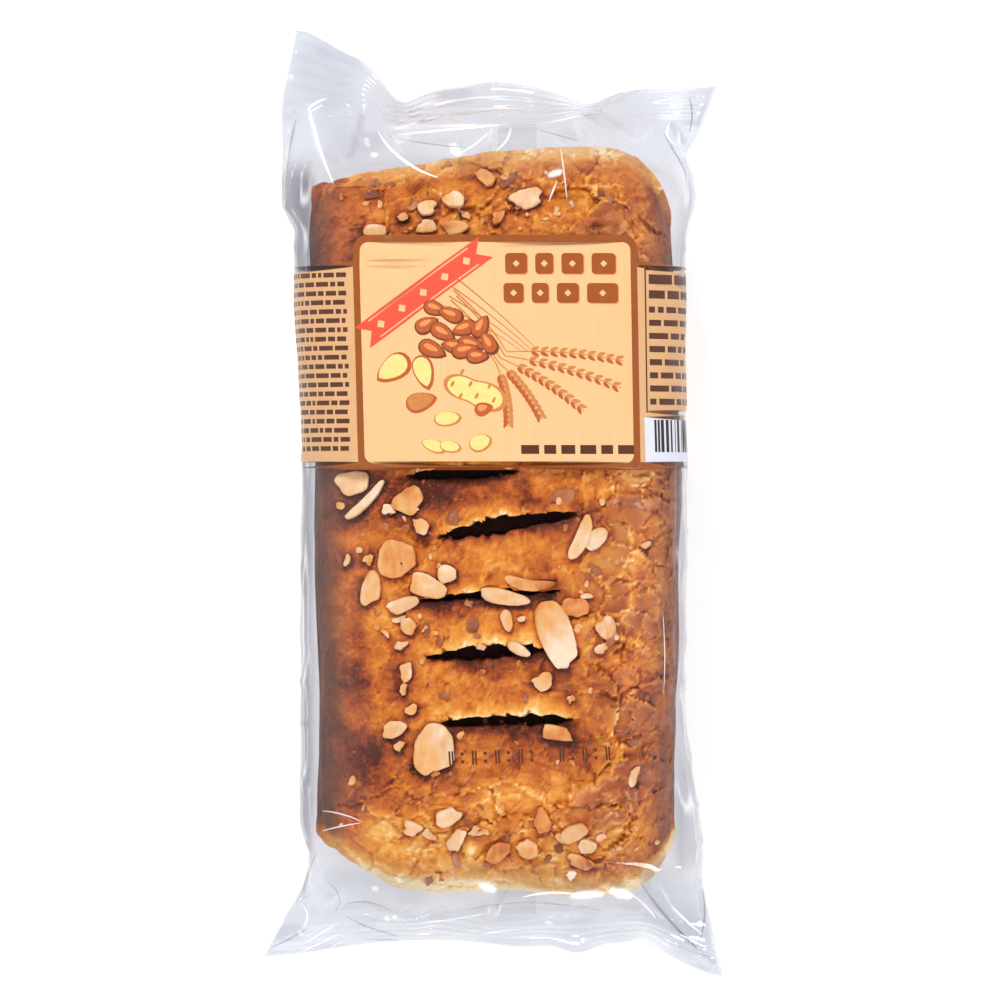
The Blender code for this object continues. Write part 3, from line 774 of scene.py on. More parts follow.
def pastry_mesh():
    px = arc_spaced(PASTRY_P, 39.3, CROWN - WAIST, CROSS_POWER)
    qy = arc_spaced(PASTRY_Q, 81.4, CROWN - WAIST, END_POWER)
    p, q = np.meshgrid(px, qy)
    x, y = plan(p, q)
    interior = (np.abs(p) < 0.93) & (np.abs(q) < 0.985)
    y = np.where(interior, gather_rows(x, y), y)
    f = np.clip(1.0 - np.abs(p) ** CROSS_POWER, 0.0, 1.0) ** (1.0 / CROSS_POWER)
    e = np.clip(1.0 - np.abs(q) ** END_POWER, 0.0, 1.0) ** (1.0 / END_POWER)
    form = f * e
    # the two ends taper down a little
    height = CROWN - WAIST - 1.6 * smooth(y, 52, 76) - 2.4 * smooth(y, -58, -82)
    z = WAIST + height * form
    wall = 1.0 - smooth(form, 0.25, 0.85)
    relief, bake, depth, lip, sleek = crust(x, y, wall)
    z = z + relief * smooth(form, 0.15, 0.75)
    z = z - 8.5 * depth
    # the lip of each strip leans out over its slit
    y = y - 0.7 * lip * (1.0 - depth) * smooth(form, 0.5, 0.8)

    # thin layers show down both ends and, darker, down the sides
    normal = grid_normals(np.stack([x, y, z], -1))
    layers = layer_relief(x, y, z)
    end_face = smooth(np.abs(q), 0.935, 0.980)
    out = layers * (0.65 * end_face + 0.25 * wall * (1.0 - end_face)) * smooth(1.0 - form, 0.08, 0.35)
    # painted shade inside the slits: their walls baked dark
    inner = smooth(depth, 0.02, 0.30)
    bake = bake * (1.0 - inner) + inner * (0.74 + 0.08 * layers)
    # the walls are baked in level bands and clouds, not in the pattern of the top
    down = (1.0 - smooth(form, 0.42, 0.86)) * (1.0 - end_face)
    aside = np.stack([x * 0.4, y, z], -1)
    banded = 0.60 + 0.16 * fbm(aside, (9.0, 12.0, 4.5), 3, 75) + 0.09 * layers \
        + 0.08 * noise(aside, (4.0, 5.0, 1.6), 76)
    bake = bake * (1.0 - down) + banded * down
    sleek = sleek * (1.0 - down)
    flat = normal * np.array([1.0, 1.0, 0.35])
    x, y, z = x + flat[..., 0] * out, y + flat[..., 1] * out, z + flat[..., 2] * out
    pale = end_face * smooth(1.0 - form, 0.03, 0.26) * np.where(y > 0, 0.55, 1.0) * smooth(x, -40.0, -26.0)
    bake = bake * (1.0 - 0.90 * pale) + pale * (0.02 - 0.16 * layers)
    bake = bake + 0.10 * wall * (1.0 - end_face)
    # painted shade down both long sides, heavier on the left, less at the ends and towards the top end
    painted_side_shade = smooth(np.abs(p), 0.79, 0.945) * (1.0 - 0.7 * end_face) * np.where(p < 0, 1.10, 0.60)
    painted_side_shade = painted_side_shade * (1.0 - 0.35 * smooth(y, 54.0, 66.0))
    top = np.stack([x, y, z], -1)

    # keep everything under the film
    for i in range(top.shape[0]):
        for j in range(top.shape[1]):
            roof = drop(film_tree, top[i, j, 0], top[i, j, 1], WAIST, 1.0)
            if roof is not None and top[i, j, 2] > roof - 0.5:
                top[i, j, 2] = roof - 0.5 - 0.15 * min(1.0, top[i, j, 2] - roof + 0.5)

    n, m = top.shape[:2]
    verts = [top.reshape(-1, 3)]
    values = {"bake": [bake.reshape(-1)], "deep": [depth.reshape(-1)],
              "painted_side_shade": [painted_side_shade.reshape(-1)], "sleek": [sleek.reshape(-1)]}
    index = np.arange(n * m).reshape(n, m)
    a, b, c, d = index[:-1, :-1], index[:-1, 1:], index[1:, 1:], index[1:, :-1]
    faces = np.stack([a, b, c, d], -1).reshape(-1, 4).tolist()

    # the sides below the waist, ring by ring, then the underside
    ring = np.concatenate([index[0, :-1], index[:-1, -1], index[-1, :0:-1], index[:0:-1, 0]])
    rp, rq = p.reshape(-1)[ring], q.reshape(-1)[ring]
    rim_shift = top.reshape(-1, 3)[ring] - np.stack([*plan(rp, rq), np.full(len(ring), WAIST)], -1)
    count, last = n * m, ring
    for k in range(1, LOW_RINGS + 1):
        angle = k / LOW_RINGS * math.pi / 2.0
        inset = 9.5 * (1.0 - math.cos(angle) ** (2.0 / 2.8))
        z_ring = WAIST - (WAIST - 0.75) * math.sin(angle) ** (2.0 / 2.8)
        rx, ry = plan(rp * (1.0 - inset / 39.3), rq * (1.0 - inset / 81.4))
        rz = np.full(len(ring), z_ring)
        fade = max(0.0, 1.0 - k / 3.0)
        rx, ry = rx + rim_shift[:, 0] * fade, ry + rim_shift[:, 1] * fade
        layers = layer_relief(rx, ry, rz)
        end_face = smooth(np.abs(rq), 0.90, 0.985)
        out = layers * (0.5 * end_face + 0.28 * (1 - end_face)) * (1.0 - math.sin(angle) ** 3)
        away = np.stack([rx - 0.0, ry * 0.3], -1)
        away = away / np.maximum(np.linalg.norm(away, axis=-1, keepdims=True), 1e-6)
        soft = fbm(np.stack([rx, ry, rz], -1), (12.0, 12.0, 7.0), 2, 71)
        rx, ry = rx + away[:, 0] * (out - 0.5 + 0.5 * soft), ry + away[:, 1] * (out - 0.3)
        if k == LOW_RINGS:
            rz = rz + 0.0
        else:
            rz = rz + 0.3 * soft * math.cos(angle)
        here = np.arange(count, count + len(ring))
        verts.append(np.stack([rx, ry, rz], -1))
        values["bake"].append(0.62 + 0.12 * soft + 0.10 * math.sin(angle)
                              - end_face * (0.38 + 0.12 * layers) * (1.0 - 0.6 * math.sin(angle)))
        values["deep"].append(np.zeros(len(ring)))
        # painted shade on the long sides of the lower rings, heavier on the left
        values["painted_side_shade"].append((1.0 - end_face) * np.where(rp < 0, 0.9, 0.4) * (1.0 - 0.5 * math.sin(angle)))
        values["sleek"].append(np.zeros(len(ring)))
        nxt_last, nxt_here = np.roll(last, -1), np.roll(here, -1)
        faces += np.stack([last, here, nxt_here, nxt_last], -1).tolist()
        count += len(ring)
        last = here
    edge = verts[-1]
    gx, gy = np.meshgrid(np.arange(-33.0, 35.0, 2.6), np.arange(-78.0, 74.0, 2.6))
    rng = np.random.default_rng(5)
    gx = gx + rng.uniform(-0.7, 0.7, gx.shape)
    gy = gy + rng.uniform(-0.7, 0.7, gy.shape)
    inner = np.stack([gx.reshape(-1), gy.reshape(-1)], -1)
    hull = edge[:, :2]
    inner = inner[inside_polygon(inner, hull, 1.2)]
    points = np.concatenate([hull, inner])
    flat_v, _, flat_f, ov, _, _ = delaunay_2d_cdt(
        [Vector(v) for v in points.tolist()], [], [list(range(len(hull)))], 1, 1e-4, True)
    flat_v = np.array([tuple(v) for v in flat_v])
    lookup = {}
    extra, extra_bake = [], []
    for i, origin in enumerate(ov):
        boundary = [o for o in origin if o < len(hull)]
        if boundary:
            lookup[i] = int(last[boundary[0]])
        else:
            v = flat_v[i]
            w = np.array([[v[0], v[1], 0.0]])
            rise = float(0.25 + 0.35 * fbm(w, 11.0, 2, 73)[0])
            lookup[i] = count + len(extra)
            extra.append((v[0], v[1], 0.75 + max(0.0, rise)))
            extra_bake.append(0.72 + 0.14 * float(fbm(w, 9.0, 2, 74)[0]))
    verts.append(np.array(extra))
    values["bake"].append(np.array(extra_bake))
    for name in ("deep", "painted_side_shade", "sleek"):
        values[name].append(np.zeros(len(extra)))
    for face in flat_f:
        i, j, k = (lookup[v] for v in face)
        if len({i, j, k}) == 3:
            faces.append((k, j, i) if signed_area(flat_v[list(face)]) > 0 else (i, j, k))
    return np.concatenate(verts), faces, {k: np.concatenate(v) for k, v in values.items()}


def layer_relief(x, y, z):
    """Thin layers of dough seen edge on: -1..1 by height, wavering along the edge."""
    drift = 0.8 * noise(np.stack([x, y, z * 0], -1), 14.0, 81) + 0.35 * noise(
        np.stack([x, y, z * 0], -1), 4.0, 82)
    line = np.stack([x * 0.10, y * 0.06, (z + drift) * 1.0], -1)
    return np.clip(1.5 * noise(line, (1.0, 1.0, 1.15), 83) + 0.6 * noise(line, (1.0, 1.0, 0.6), 84), -1, 1)


def signed_area(t):
    return (t[1][0] - t[0][0]) * (t[2][1] - t[0][1]) - (t[2][0] - t[0][0]) * (t[1][1] - t[0][1])


def inside_polygon(points, polygon, margin=0.0):
    """Which points lie inside the closed outline, at least about margin from its line."""
    x, y = points[:, 0], points[:, 1]
    inside = np.zeros(len(points), bool)
    near = np.full(len(points), 1e9)
    a, b = polygon, np.roll(polygon, -1, axis=0)
    for (x0, y0), (x1, y1) in zip(a, b):
        crosses = (y0 > y) != (y1 > y)
        if y1 != y0:
            inside ^= crosses & (x < (x1 - x0) * (y - y0) / (y1 - y0) + x0)
        near = np.minimum(near, np.hypot(x - x0, y - y0))
    return inside & (near > margin)


# =================================================================================
# materials
# =================================================================================
def material(name):
    made = bpy.data.materials.new(name)
    made.use_nodes = True
    tree = made.node_tree
    tree.nodes.clear()
    return made, tree


def node(tree, kind, inputs=None, **settings):
    made = tree.nodes.new(kind)
    for key, value in settings.items():
        setattr(made, key, value)
    for key, value in (inputs or {}).items():
        socket = made.inputs[key]
        if isinstance(value, bpy.types.NodeSocket):
            tree.links.new(value, socket)
        else:
            socket.default_value = value
    return made


def ramp(tree, fac, stops, interpolation="LINEAR"):
    made = tree.nodes.new("ShaderNodeValToRGB")
    made.color_ramp.interpolation = interpolation
    elements = made.color_ramp.elements
    while len(elements) < len(stops):
        elements.new(0.5)
    for element, (at, colour) in zip(elements, stops):
        element.position = at
        element.color = (*colour, 1.0)
    tree.links.new(fac, made.inputs["Fac"])
    return made.outputs["Color"]


def maths(tree, operation, a, b=None, clamp=False):
    made = tree.nodes.new("ShaderNodeMath")
    made.operation = operation
    made.use_clamp = clamp
    for socket, value in zip(made.inputs, (a, b)):
        if value is None:
            continue
        if isinstance(value, bpy.types.NodeSocket):
            tree.links.new(value, socket)
        else:
            socket.default_value = value
    return made.outputs[0]


def mixed(tree, fac, a, b, blend="MIX"):
    made = tree.nodes.new("ShaderNodeMix")
    made.data_type = "RGBA"
    made.blend_type = blend
    for socket, value in ((made.inputs[0], fac), (made.inputs[6], a), (made.inputs[7], b)):
        if isinstance(value, bpy.types.NodeSocket):
            tree.links.new(value, socket)
        elif isinstance(value, tuple):
            socket.default_value = (*value, 1.0)
        else:
            socket.default_value = value
    return made.outputs[2]


def place(tree, scale=1000.0, stretch=(1.0, 1.0, 1.0)):
    """Position on the object in millimetres, optionally stretched."""
    coords = node(tree, "ShaderNodeTexCoord")
    mapping = node(tree, "ShaderNodeMapping", {"Vector": coords.outputs["Object"]})
    mapping.inputs["Scale"].default_value = tuple(scale * s for s in stretch)
    return mapping.outputs["Vector"]


def grain(tree, where, size, detail=2.0, rough=0.5):
    made = node(tree, "ShaderNodeTexNoise",
                {"Vector": where, "Scale": 1.0 / size, "Detail": detail, "Roughness": rough})
    return made.outputs["Fac"]


def finish_material(tree, shader):
    out = tree.nodes.new("ShaderNodeOutputMaterial")
    tree.links.new(shader, out.inputs["Surface"])


def bumped(tree, height, distance, strength=1.0):
    return node(tree, "ShaderNodeBump", {"Height": height, "Distance": distance * MM,
                                         "Strength": strength}).outputs["Normal"]


def film_material():
    made, tree = material("clear_film")
    where = place(tree)
    white = node(tree, "ShaderNodeAttribute", attribute_name="white").outputs["Fac"]
    grey = node(tree, "ShaderNodeAttribute", attribute_name="grey").outputs["Fac"]
    loose = node(tree, "ShaderNodeAttribute", attribute_name="loose").outputs["Fac"]
    fine = grain(tree, where, 4.0, 3.0, 0.55)
    cloudy = grain(tree, where, 18.0, 3.0)
    normal = bumped(tree, fine, 0.12, 0.5)
    # clear on the pastry, a cool grey where it hangs in loose layers, with painted shade darkening it in its folds
    tint = mixed(tree, loose, (0.965, 0.968, 0.972), (0.850, 0.872, 0.908))
    depth = maths(tree, "ADD", maths(tree, "MULTIPLY", grey, 0.92),
                  maths(tree, "MULTIPLY", maths(tree, "MULTIPLY", cloudy, loose), 0.10), clamp=True)
    tint = mixed(tree, depth, tint, (0.57, 0.565, 0.61))
    clear = node(tree, "ShaderNodeBsdfTransparent", {"Color": tint})
    gloss = node(tree, "ShaderNodeBsdfGlossy", {"Color": (1.0, 1.0, 1.0, 1.0), "Roughness": 0.06,
                                                "Normal": normal})
    # the same mirror share on both faces of the film: a little head on, most of it edge on
    facing = node(tree, "ShaderNodeLayerWeight", {"Blend": 0.5, "Normal": normal}).outputs["Facing"]
    mirror = maths(tree, "MULTIPLY", maths(tree, "POWER", facing, 5.0), 0.75)
    mirror = maths(tree, "ADD", mirror, 0.038, clamp=True)
    body = node(tree, "ShaderNodeMixShader", {0: mirror, 1: clear.outputs[0], 2: gloss.outputs[0]})
    # a white diffuse share: a little haze edge on, and painted highlights and glints where the white value lies,
    # partly the film's whitening at sharp bends
    haze_and_painted_highlight = node(tree, "ShaderNodeBsdfDiffuse", {"Color": (0.97, 0.97, 0.99, 1.0), "Normal": normal})
    amount = maths(tree, "MULTIPLY", maths(tree, "POWER", facing, 4.0), 0.16)
    amount = maths(tree, "ADD", amount, maths(tree, "MULTIPLY", white, 0.92), clamp=True)
    whole = node(tree, "ShaderNodeMixShader", {0: amount, 1: body.outputs[0], 2: haze_and_painted_highlight.outputs[0]})
    finish_material(tree, whole.outputs[0])
    return made


CRUST_STOPS = [(0.0, srgb(255, 228, 174)), (0.16, srgb(242, 178, 90)), (0.34, srgb(228, 147, 54)),
               (0.52, srgb(208, 116, 36)), (0.70, srgb(174, 82, 24)), (0.86, srgb(128, 51, 18)),
               (1.0, srgb(80, 28, 12))]


def pastry_material():
    made, tree = material("pastry_crust")
    where = place(tree)
    bake = node(tree, "ShaderNodeAttribute", attribute_name="bake").outputs["Fac"]
    deep = node(tree, "ShaderNodeAttribute", attribute_name="deep").outputs["Fac"]
    painted_side_shade = node(tree, "ShaderNodeAttribute", attribute_name="painted_side_shade").outputs["Fac"]
    sleek = node(tree, "ShaderNodeAttribute", attribute_name="sleek").outputs["Fac"]
    painted_slice_shadow = node(tree, "ShaderNodeAttribute", attribute_name="painted_slice_shadow").outputs["Fac"]
    spots = grain(tree, where, 1.3, 4.0, 0.65)
    patch = grain(tree, where, 5.0, 3.0, 0.55)
    calm = maths(tree, "SUBTRACT", 1.0, maths(tree, "MULTIPLY", sleek, 0.7))
    level = maths(tree, "ADD", bake, maths(tree, "MULTIPLY", maths(tree, "MULTIPLY", maths(
        tree, "SUBTRACT", spots, 0.5), calm), 0.50))
    level = maths(tree, "ADD", level, maths(tree, "MULTIPLY", maths(tree, "SUBTRACT", patch, 0.5), 0.30))
    # painted shadow of the almond slices on the crust
    level = maths(tree, "ADD", level, maths(tree, "MULTIPLY", painted_slice_shadow, 0.42), clamp=True)
    colour = ramp(tree, level, CRUST_STOPS)
    flecks = grain(tree, place(tree, 1000.0, (1.0, 1.6, 1.0)), 0.62, 2.0, 0.5)
    dark = maths(tree, "MULTIPLY", maths(tree, "SUBTRACT", flecks, 0.60), 5.0, clamp=True)
    colour = mixed(tree, maths(tree, "MULTIPLY", dark, 0.30), colour, srgb(130, 58, 26))
    pale = maths(tree, "MULTIPLY", maths(tree, "SUBTRACT", 0.37, flecks), 6.0, clamp=True)
    colour = mixed(tree, maths(tree, "MULTIPLY", pale, 0.35), colour, srgb(252, 196, 116))
    colour = mixed(tree, maths(tree, "MULTIPLY", sleek, 0.52), colour, srgb(160, 88, 54))
    # painted shade down the long sides, mixed towards a dark brown
    shadow = maths(tree, "MULTIPLY", painted_side_shade, maths(tree, "ADD", 0.45, maths(tree, "MULTIPLY", patch, 0.6)),
                   clamp=True)
    colour = mixed(tree, shadow, colour, srgb(92, 56, 40))
    # painted shade inside the slits, darker the deeper
    slit_shade = ramp(tree, deep, [(0.0, srgb(170, 98, 48)), (0.35, srgb(112, 56, 28)), (1.0, srgb(62, 26, 18))])
    colour = mixed(tree, maths(tree, "POWER", deep, 0.35, clamp=True), colour, slit_shade)
    rough = maths(tree, "ADD", maths(tree, "MULTIPLY", spots, 0.35), 0.32)
    rough = maths(tree, "SUBTRACT", rough, maths(tree, "MULTIPLY", sleek, 0.18), clamp=True)
    rough = maths(tree, "MAXIMUM", rough, maths(tree, "MULTIPLY", deep, 0.9))
    fine = grain(tree, where, 0.50, 3.0, 0.6)
    height = maths(tree, "ADD", maths(tree, "MULTIPLY", spots, 0.8), maths(tree, "MULTIPLY", fine, 0.35))
    height = maths(tree, "MULTIPLY", height, calm)
    normal = bumped(tree, height, 0.65, 0.9)
    shader = node(tree, "ShaderNodeBsdfPrincipled",
                  {"Base Color": colour, "Roughness": rough, "Normal": normal})
    shader.inputs["Specular IOR Level"].default_value = 0.32
    shader.inputs["Coat Weight"].default_value = 0.14
    shader.inputs["Coat Roughness"].default_value = 0.20
    shader.inputs["Subsurface Weight"].default_value = 0.0
    finish_material(tree, shader.outputs[0])
    return made


def nut_material(name, stops, rim):
    made, tree = material(name)
    where = place(tree)
    tone = node(tree, "ShaderNodeAttribute", attribute_name="tone").outputs["Fac"]
    edge = node(tree, "ShaderNodeAttribute", attribute_name="rim").outputs["Fac"]
    streak = grain(tree, place(tree, 1000.0, (1.0, 0.35, 1.0)), 1.3, 3.0, 0.6)
    cloud = grain(tree, where, 3.0, 2.0)
    level = maths(tree, "ADD", tone, maths(tree, "MULTIPLY", maths(tree, "SUBTRACT", streak, 0.5), 0.5))
    level = maths(tree, "ADD", level, maths(tree, "MULTIPLY", maths(tree, "SUBTRACT", cloud, 0.5), 0.4),
                  clamp=True)
    colour = ramp(tree, level, stops)
    colour = mixed(tree, maths(tree, "MULTIPLY", edge, 0.55), colour, rim)
    normal = bumped(tree, streak, 0.25, 0.6)
    rough = maths(tree, "ADD", maths(tree, "MULTIPLY", cloud, 0.25), 0.32)
    shader = node(tree, "ShaderNodeBsdfPrincipled",
                  {"Base Color": colour, "Roughness": rough, "Normal": normal})
    shader.inputs["Coat Weight"].default_value = 0.15
    shader.inputs["Coat Roughness"].default_value = 0.3
    finish_material(tree, shader.outputs[0])
    return made


def print_material(name, colour, second=None, size=2.0, stretch=(1.0, 1.0, 1.0), gloss=0.30):
    """Ink on film: the colour with a faint unevenness, under the film's own gloss."""
    made, tree = material("print_" + name)
    tone = grain(tree, place(tree, 1000.0, stretch), size, 2.0)
    second = second or tuple(c * 0.86 for c in colour)
    ink = mixed(tree, tone, colour, second)
    rough = maths(tree, "ADD", maths(tree, "MULTIPLY", grain(tree, place(tree), 3.0), 0.15), gloss)
    normal = bumped(tree, grain(tree, place(tree), 5.0, 2.0), 0.10, 0.4)
    shader = node(tree, "ShaderNodeBsdfPrincipled",
                  {"Base Color": ink, "Roughness": rough, "Normal": normal})
    shader.inputs["Specular IOR Level"].default_value = 0.35
    finish_material(tree, shader.outputs[0])
    return made


# =================================================================================
# the printed band: flat shapes laid out in one plane, then draped on the film
# =================================================================================
INKS = ["cream", "border", "tan", "text", "white", "red", "almond", "almond_dark",
        "almond_light", "pale_nut", "wheat", "title", "bars"]
INK = {name: i for i, name in enumerate(INKS)}
BAND_LOW, BAND_TOP, SIDE_TOP = 7.7, 58.6, 53.0
REF_Y = 32.0
ref_x, _, ref_run = section_run(REF_Y, True)
low_run = section_run(REF_Y, False)[2][-1]
REF_MID = float(np.interp(0.0, ref_x, ref_run))
RUN_RIGHT, RUN_LEFT = ref_run[-1] - REF_MID, REF_MID


def h_of(x):
    """Distance along the film from the middle line, for a place x across the front."""
    return np.interp(x, ref_x, ref_run) - REF_MID


def px(x, y):
    """Layout coordinates, as hundredths of the pack's frame, to (along the film, Y)."""
    at = to_mm(x, y, 34.5)
    return float(h_of(at[0])), at[1]


def rounded(x0, y0, x1, y1, r, corners=(1, 1, 1, 1), steps=5):
    """A box with rounded corners, bottom left first, in (h, y)."""
    out = []
    for (cx, cy, a0), on in zip(((x0 + r, y0 + r, 180), (x1 - r, y0 + r, 270),
                                 (x1 - r, y1 - r, 0), (x0 + r, y1 - r, 90)), corners):
        if not on:
            out.append((x0 if a0 in (180, 90) else x1, y0 if a0 in (180, 270) else y1))
            continue
        for k in range(steps + 1):
            a = math.radians(a0 + 90.0 * k / steps)
            out.append((cx + r * math.cos(a), cy + r * math.sin(a)))
    return out


def box(x0, y0, x1, y1):
    return [(x0, y0), (x1, y0), (x1, y1), (x0, y1)]


def nut(cx, cy, length, width, angle, point=0.35, steps=18):
    """An almond's outline: a drop, pointed at one end."""
    out = []
    for k in range(steps):
        t = 2.0 * math.pi * k / steps
        x = math.cos(t) * length / 2.0
        y = math.sin(t) * width / 2.0 * (1.0 - point * math.cos(t)) * (1.0 if math.cos(t) < 0.9 else 0.6)
        a = math.radians(angle)
        out.append((cx + x * math.cos(a) - y * math.sin(a), cy + x * math.sin(a) + y * math.cos(a)))
    return out


def moved(shape, dx, dy, scale=1.0):
    c = np.mean(shape, axis=0)
    return [(c[0] + (x - c[0]) * scale + dx, c[1] + (y - c[1]) * scale + dy) for x, y in shape]


def stroke(points, width):
    """A thin line along points, as a closed outline tapering at its end."""
    pts = np.array(points, float)
    way = np.gradient(pts, axis=0)
    way = way / np.linalg.norm(way, axis=1, keepdims=True)
    side = np.stack([-way[:, 1], way[:, 0]], -1)
    w = np.linspace(width, width * 0.45, len(pts))[:, None] / 2.0
    return [tuple(v) for v in np.concatenate([pts + side * w, (pts - side * w)[::-1]])]


def arc(x0, y0, x1, y1, sag, steps=9):
    t = np.linspace(0.0, 1.0, steps)
    dx, dy = x1 - x0, y1 - y0
    length = math.hypot(dx, dy)
    return np.stack([x0 + dx * t - dy / length * sag * 4 * t * (1 - t),
                     y0 + dy * t + dx / length * sag * 4 * t * (1 - t)], -1)


def band_shapes():
    shapes = []

    def add(ink, outline):
        outline = [(float(x), float(y)) for x, y in outline]
        area = sum(a[0] * b[1] - b[0] * a[1] for a, b in zip(outline, outline[1:] + outline[:1]))
        shapes.append((INK[ink], outline if area > 0 else outline[::-1]))

    rng = np.random.default_rng(11)
    end = RUN_LEFT + low_run / 2.0
    end_r = RUN_RIGHT + low_run / 2.0
    x_l, x_r = float(h_of(-29.8)), float(h_of(31.3))
    # panels all the way round
    add("border", box(-end, BAND_LOW, end_r, SIDE_TOP))
    add("tan", box(-end, BAND_LOW + 1.7, end_r, SIDE_TOP - 1.3))
    add("border", rounded(x_l, BAND_LOW, x_r, BAND_TOP, 3.0, (0, 0, 1, 1)))
    add("cream", rounded(x_l + 1.5, BAND_LOW + 1.5, x_r - 1.5, BAND_TOP - 1.6, 1.8, (1, 1, 1, 1)))
    # left side: rows of small print
    row, k = SIDE_TOP - 3.0, 0
    while row > BAND_LOW + 4.2:
        at = x_l - 1.6 - 0.4 * (k % 2)
        stop = -58.0 - rng.uniform(0, 4)
        while at > stop:
            long = rng.uniform(0.8, 3.8)
            add("text", box(max(at - long, stop), row - 0.52, at, row + 0.52))
            at -= long + 0.50
        row -= 1.98
        k += 1
    # right side: a ruled table above a bar symbol
    t0, t1, ty0, ty1 = x_r + 1.7, x_r + 37.0, 20.2, 51.4
    add("text", box(t0, ty0, t1, ty1))
    add("tan", box(t0 + 0.35, ty0 + 0.35, t1 - 0.35, ty1 - 0.35))
    row, k = ty1 - 2.3, 0
    while row > ty0 + 1.4:
        at, stop = t0 + 1.0, t1 - 1.2
        tall = 1.05 if k == 0 else (0.90 if k == 1 else 0.66)
        while at < stop - 1.0:
            long = rng.uniform(1.4, 5.4) if k > 1 else rng.uniform(4.0, 7.5)
            add("text", box(at, row - tall, min(at + long, stop), row + tall))
            at += long + 0.75
        row -= 3.3 if k < 2 else 2.85
        k += 1
    add("white", box(x_r + 1.2, 9.4, x_r + 31.0, 19.2))
    at = x_r + 3.6
    while at < x_r + 28.5:
        wide = 0.28 * rng.integers(1, 4)
        add("bars", box(at, 11.6, at + wide, 18.6))
        at += wide + 0.28 * rng.integers(1, 4)

    # front panel: a plain ribbon, two rows of blocks for the title
    a, b = px(363, 338), px(488, 247)
    way = np.array([b[0] - a[0], b[1] - a[1]])
    length = float(np.hypot(*way))
    way = way / length
    up = np.array([-way[1], way[0]])
    half = 2.75
    ribbon = [(0, -half), (length, -half), (length - 2.6, 0), (length, half), (0, half), (2.6, 0)]
    add("red", [tuple(np.array(a) + way * t + up * s) for t, s in ribbon])
    for s in (half - 0.62, -half + 0.62):
        add("cream", [tuple(np.array(a) + way * t + up * v) for t, v in (
            (3.4, s - 0.14), (length - 3.4, s - 0.14), (length - 3.4, s + 0.14), (3.4, s + 0.14))])
    for t in np.linspace(5.2, length - 5.2, 5):
        add("cream", [tuple(np.array(a) + way * (t + r * math.cos(w)) + up * r * math.sin(w))
                      for r, w in ((1.0, k * math.pi / 2.0) for k in range(4))])
    for y0, y1, x0, widths in ((253, 274, 507, (22, 18, 22, 24)), (283, 303, 505, (20, 17, 22, 31))):
        x = x0
        for wide in widths:
            q0, q1 = px(x, y1), px(x + wide, y0)
            add("almond_light", moved(rounded(q0[0], q0[1], q1[0], q1[1], 0.8), 0.22, -0.22))
            add("title", rounded(q0[0], q0[1], q1[0], q1[1], 0.8))
            mid = (q0[1] + q1[1]) / 2.0
            centre = (q0[0] + q1[0]) / 2.0
            add("cream", [(centre - 0.75, mid), (centre, mid - 0.75), (centre + 0.75, mid), (centre, mid + 0.75)])
            x += wide + 8
    x = 519
    for wide in (18, 12, 14, 16, 12, 16):
        q0, q1 = px(x, 454), px(x + wide, 445)
        add("text", box(q0[0], q0[1], q1[0], q1[1]))
        x += wide + 5

    # ears of wheat, fanned
    ears = [((455, 290), (507, 352), (560, 352), (624, 361)), ((458, 296), (505, 356), (548, 366), (620, 388)),
            ((452, 300), (500, 358), (540, 376), (583, 411)), ((450, 306), (498, 362), (530, 385), (541, 420)),
            ((448, 308), (496, 364), (514, 392), (507, 427))]
    for root, knee, neck, tip in ears:
        r, kn, ne, ti = px(*root), px(*knee), px(*neck), px(*tip)
        add("wheat", stroke(np.concatenate([arc(*r, *kn, 0.7), arc(*kn, *ti, 0.8)[1:]]), 0.42))
    for off in (0, 9, 17, 25):
        r, kn = px(446 + off * 0.5, 306 - off * 1.1), px(520 + off * 0.9, 350 + off * 0.2)
        add("almond", stroke(arc(*r, *kn, 0.4), 0.26))
    for root, knee, neck, tip in ears:
        k0, k1 = np.array(px(*neck)), np.array(px(*tip))
        kn = np.array(px(*knee))
        path = arc(kn[0], kn[1], k1[0], k1[1], 0.8, 26)
        ways = np.gradient(path, axis=0)
        for i in range(6, 26, 2):
            turn = math.degrees(math.atan2(ways[i][1], ways[i][0]))
            for side in (-1, 1):
                n = np.array([-ways[i][1], ways[i][0]]) / np.hypot(*ways[i])
                c = path[i] + n * side * 0.62
                add("wheat" if side > 0 else "almond",
                    nut(c[0], c[1], 1.95, 0.85, turn + side * 24, 0.3, 8))

    # a pile of almonds in their skins
    pile = [(437, 309, 25, 15, -20), (452, 315, 27, 15, 160), (428, 325, 26, 16, 25), (444, 333, 28, 16, -30),
            (465, 329, 27, 15, 200), (482, 327, 26, 16, 60), (455, 347, 28, 16, 170), (433, 350, 30, 17, -25),
            (472, 345, 28, 16, -15), (466, 351, 29, 15, 10), (489, 343, 26, 15, 120), (478, 357, 24, 14, 0)]
    for x, y, long, wide, angle in pile:
        c = px(x, y)
        shape = nut(c[0], c[1], long * 0.22, wide * 0.22, angle)
        add("almond_dark", shape)
        add("almond", moved(shape, -0.16, 0.20, 0.84))
        add("almond_light", moved(nut(c[0], c[1], long * 0.11, wide * 0.07, angle, 0.3, 10), -0.35, 0.5))
    # skinned nuts and seeds
    for x, y, long, wide, angle in ((393, 369, 40, 24, 215), (424, 373, 36, 20, -75), (421, 402, 32, 19, 15)):
        c = px(x, y)
        shape = nut(c[0], c[1], long * 0.22, wide * 0.22, angle)
        add("almond", shape)
        add("wheat" if y > 395 else "pale_nut", moved(shape, -0.22, 0.22, 0.82))
    for x, y, long, wide, angle in ((432, 446, 26, 13, 160), (479, 443, 24, 17, 20), (447, 419, 28, 15, 5),
                                    (449, 447, 22, 12, -10)):
        c = px(x, y)
        shape = nut(c[0], c[1], long * 0.22, wide * 0.22, angle, 0.15)
        add("wheat", shape)
        add("pale_nut", moved(shape, -0.18, 0.18, 0.84))
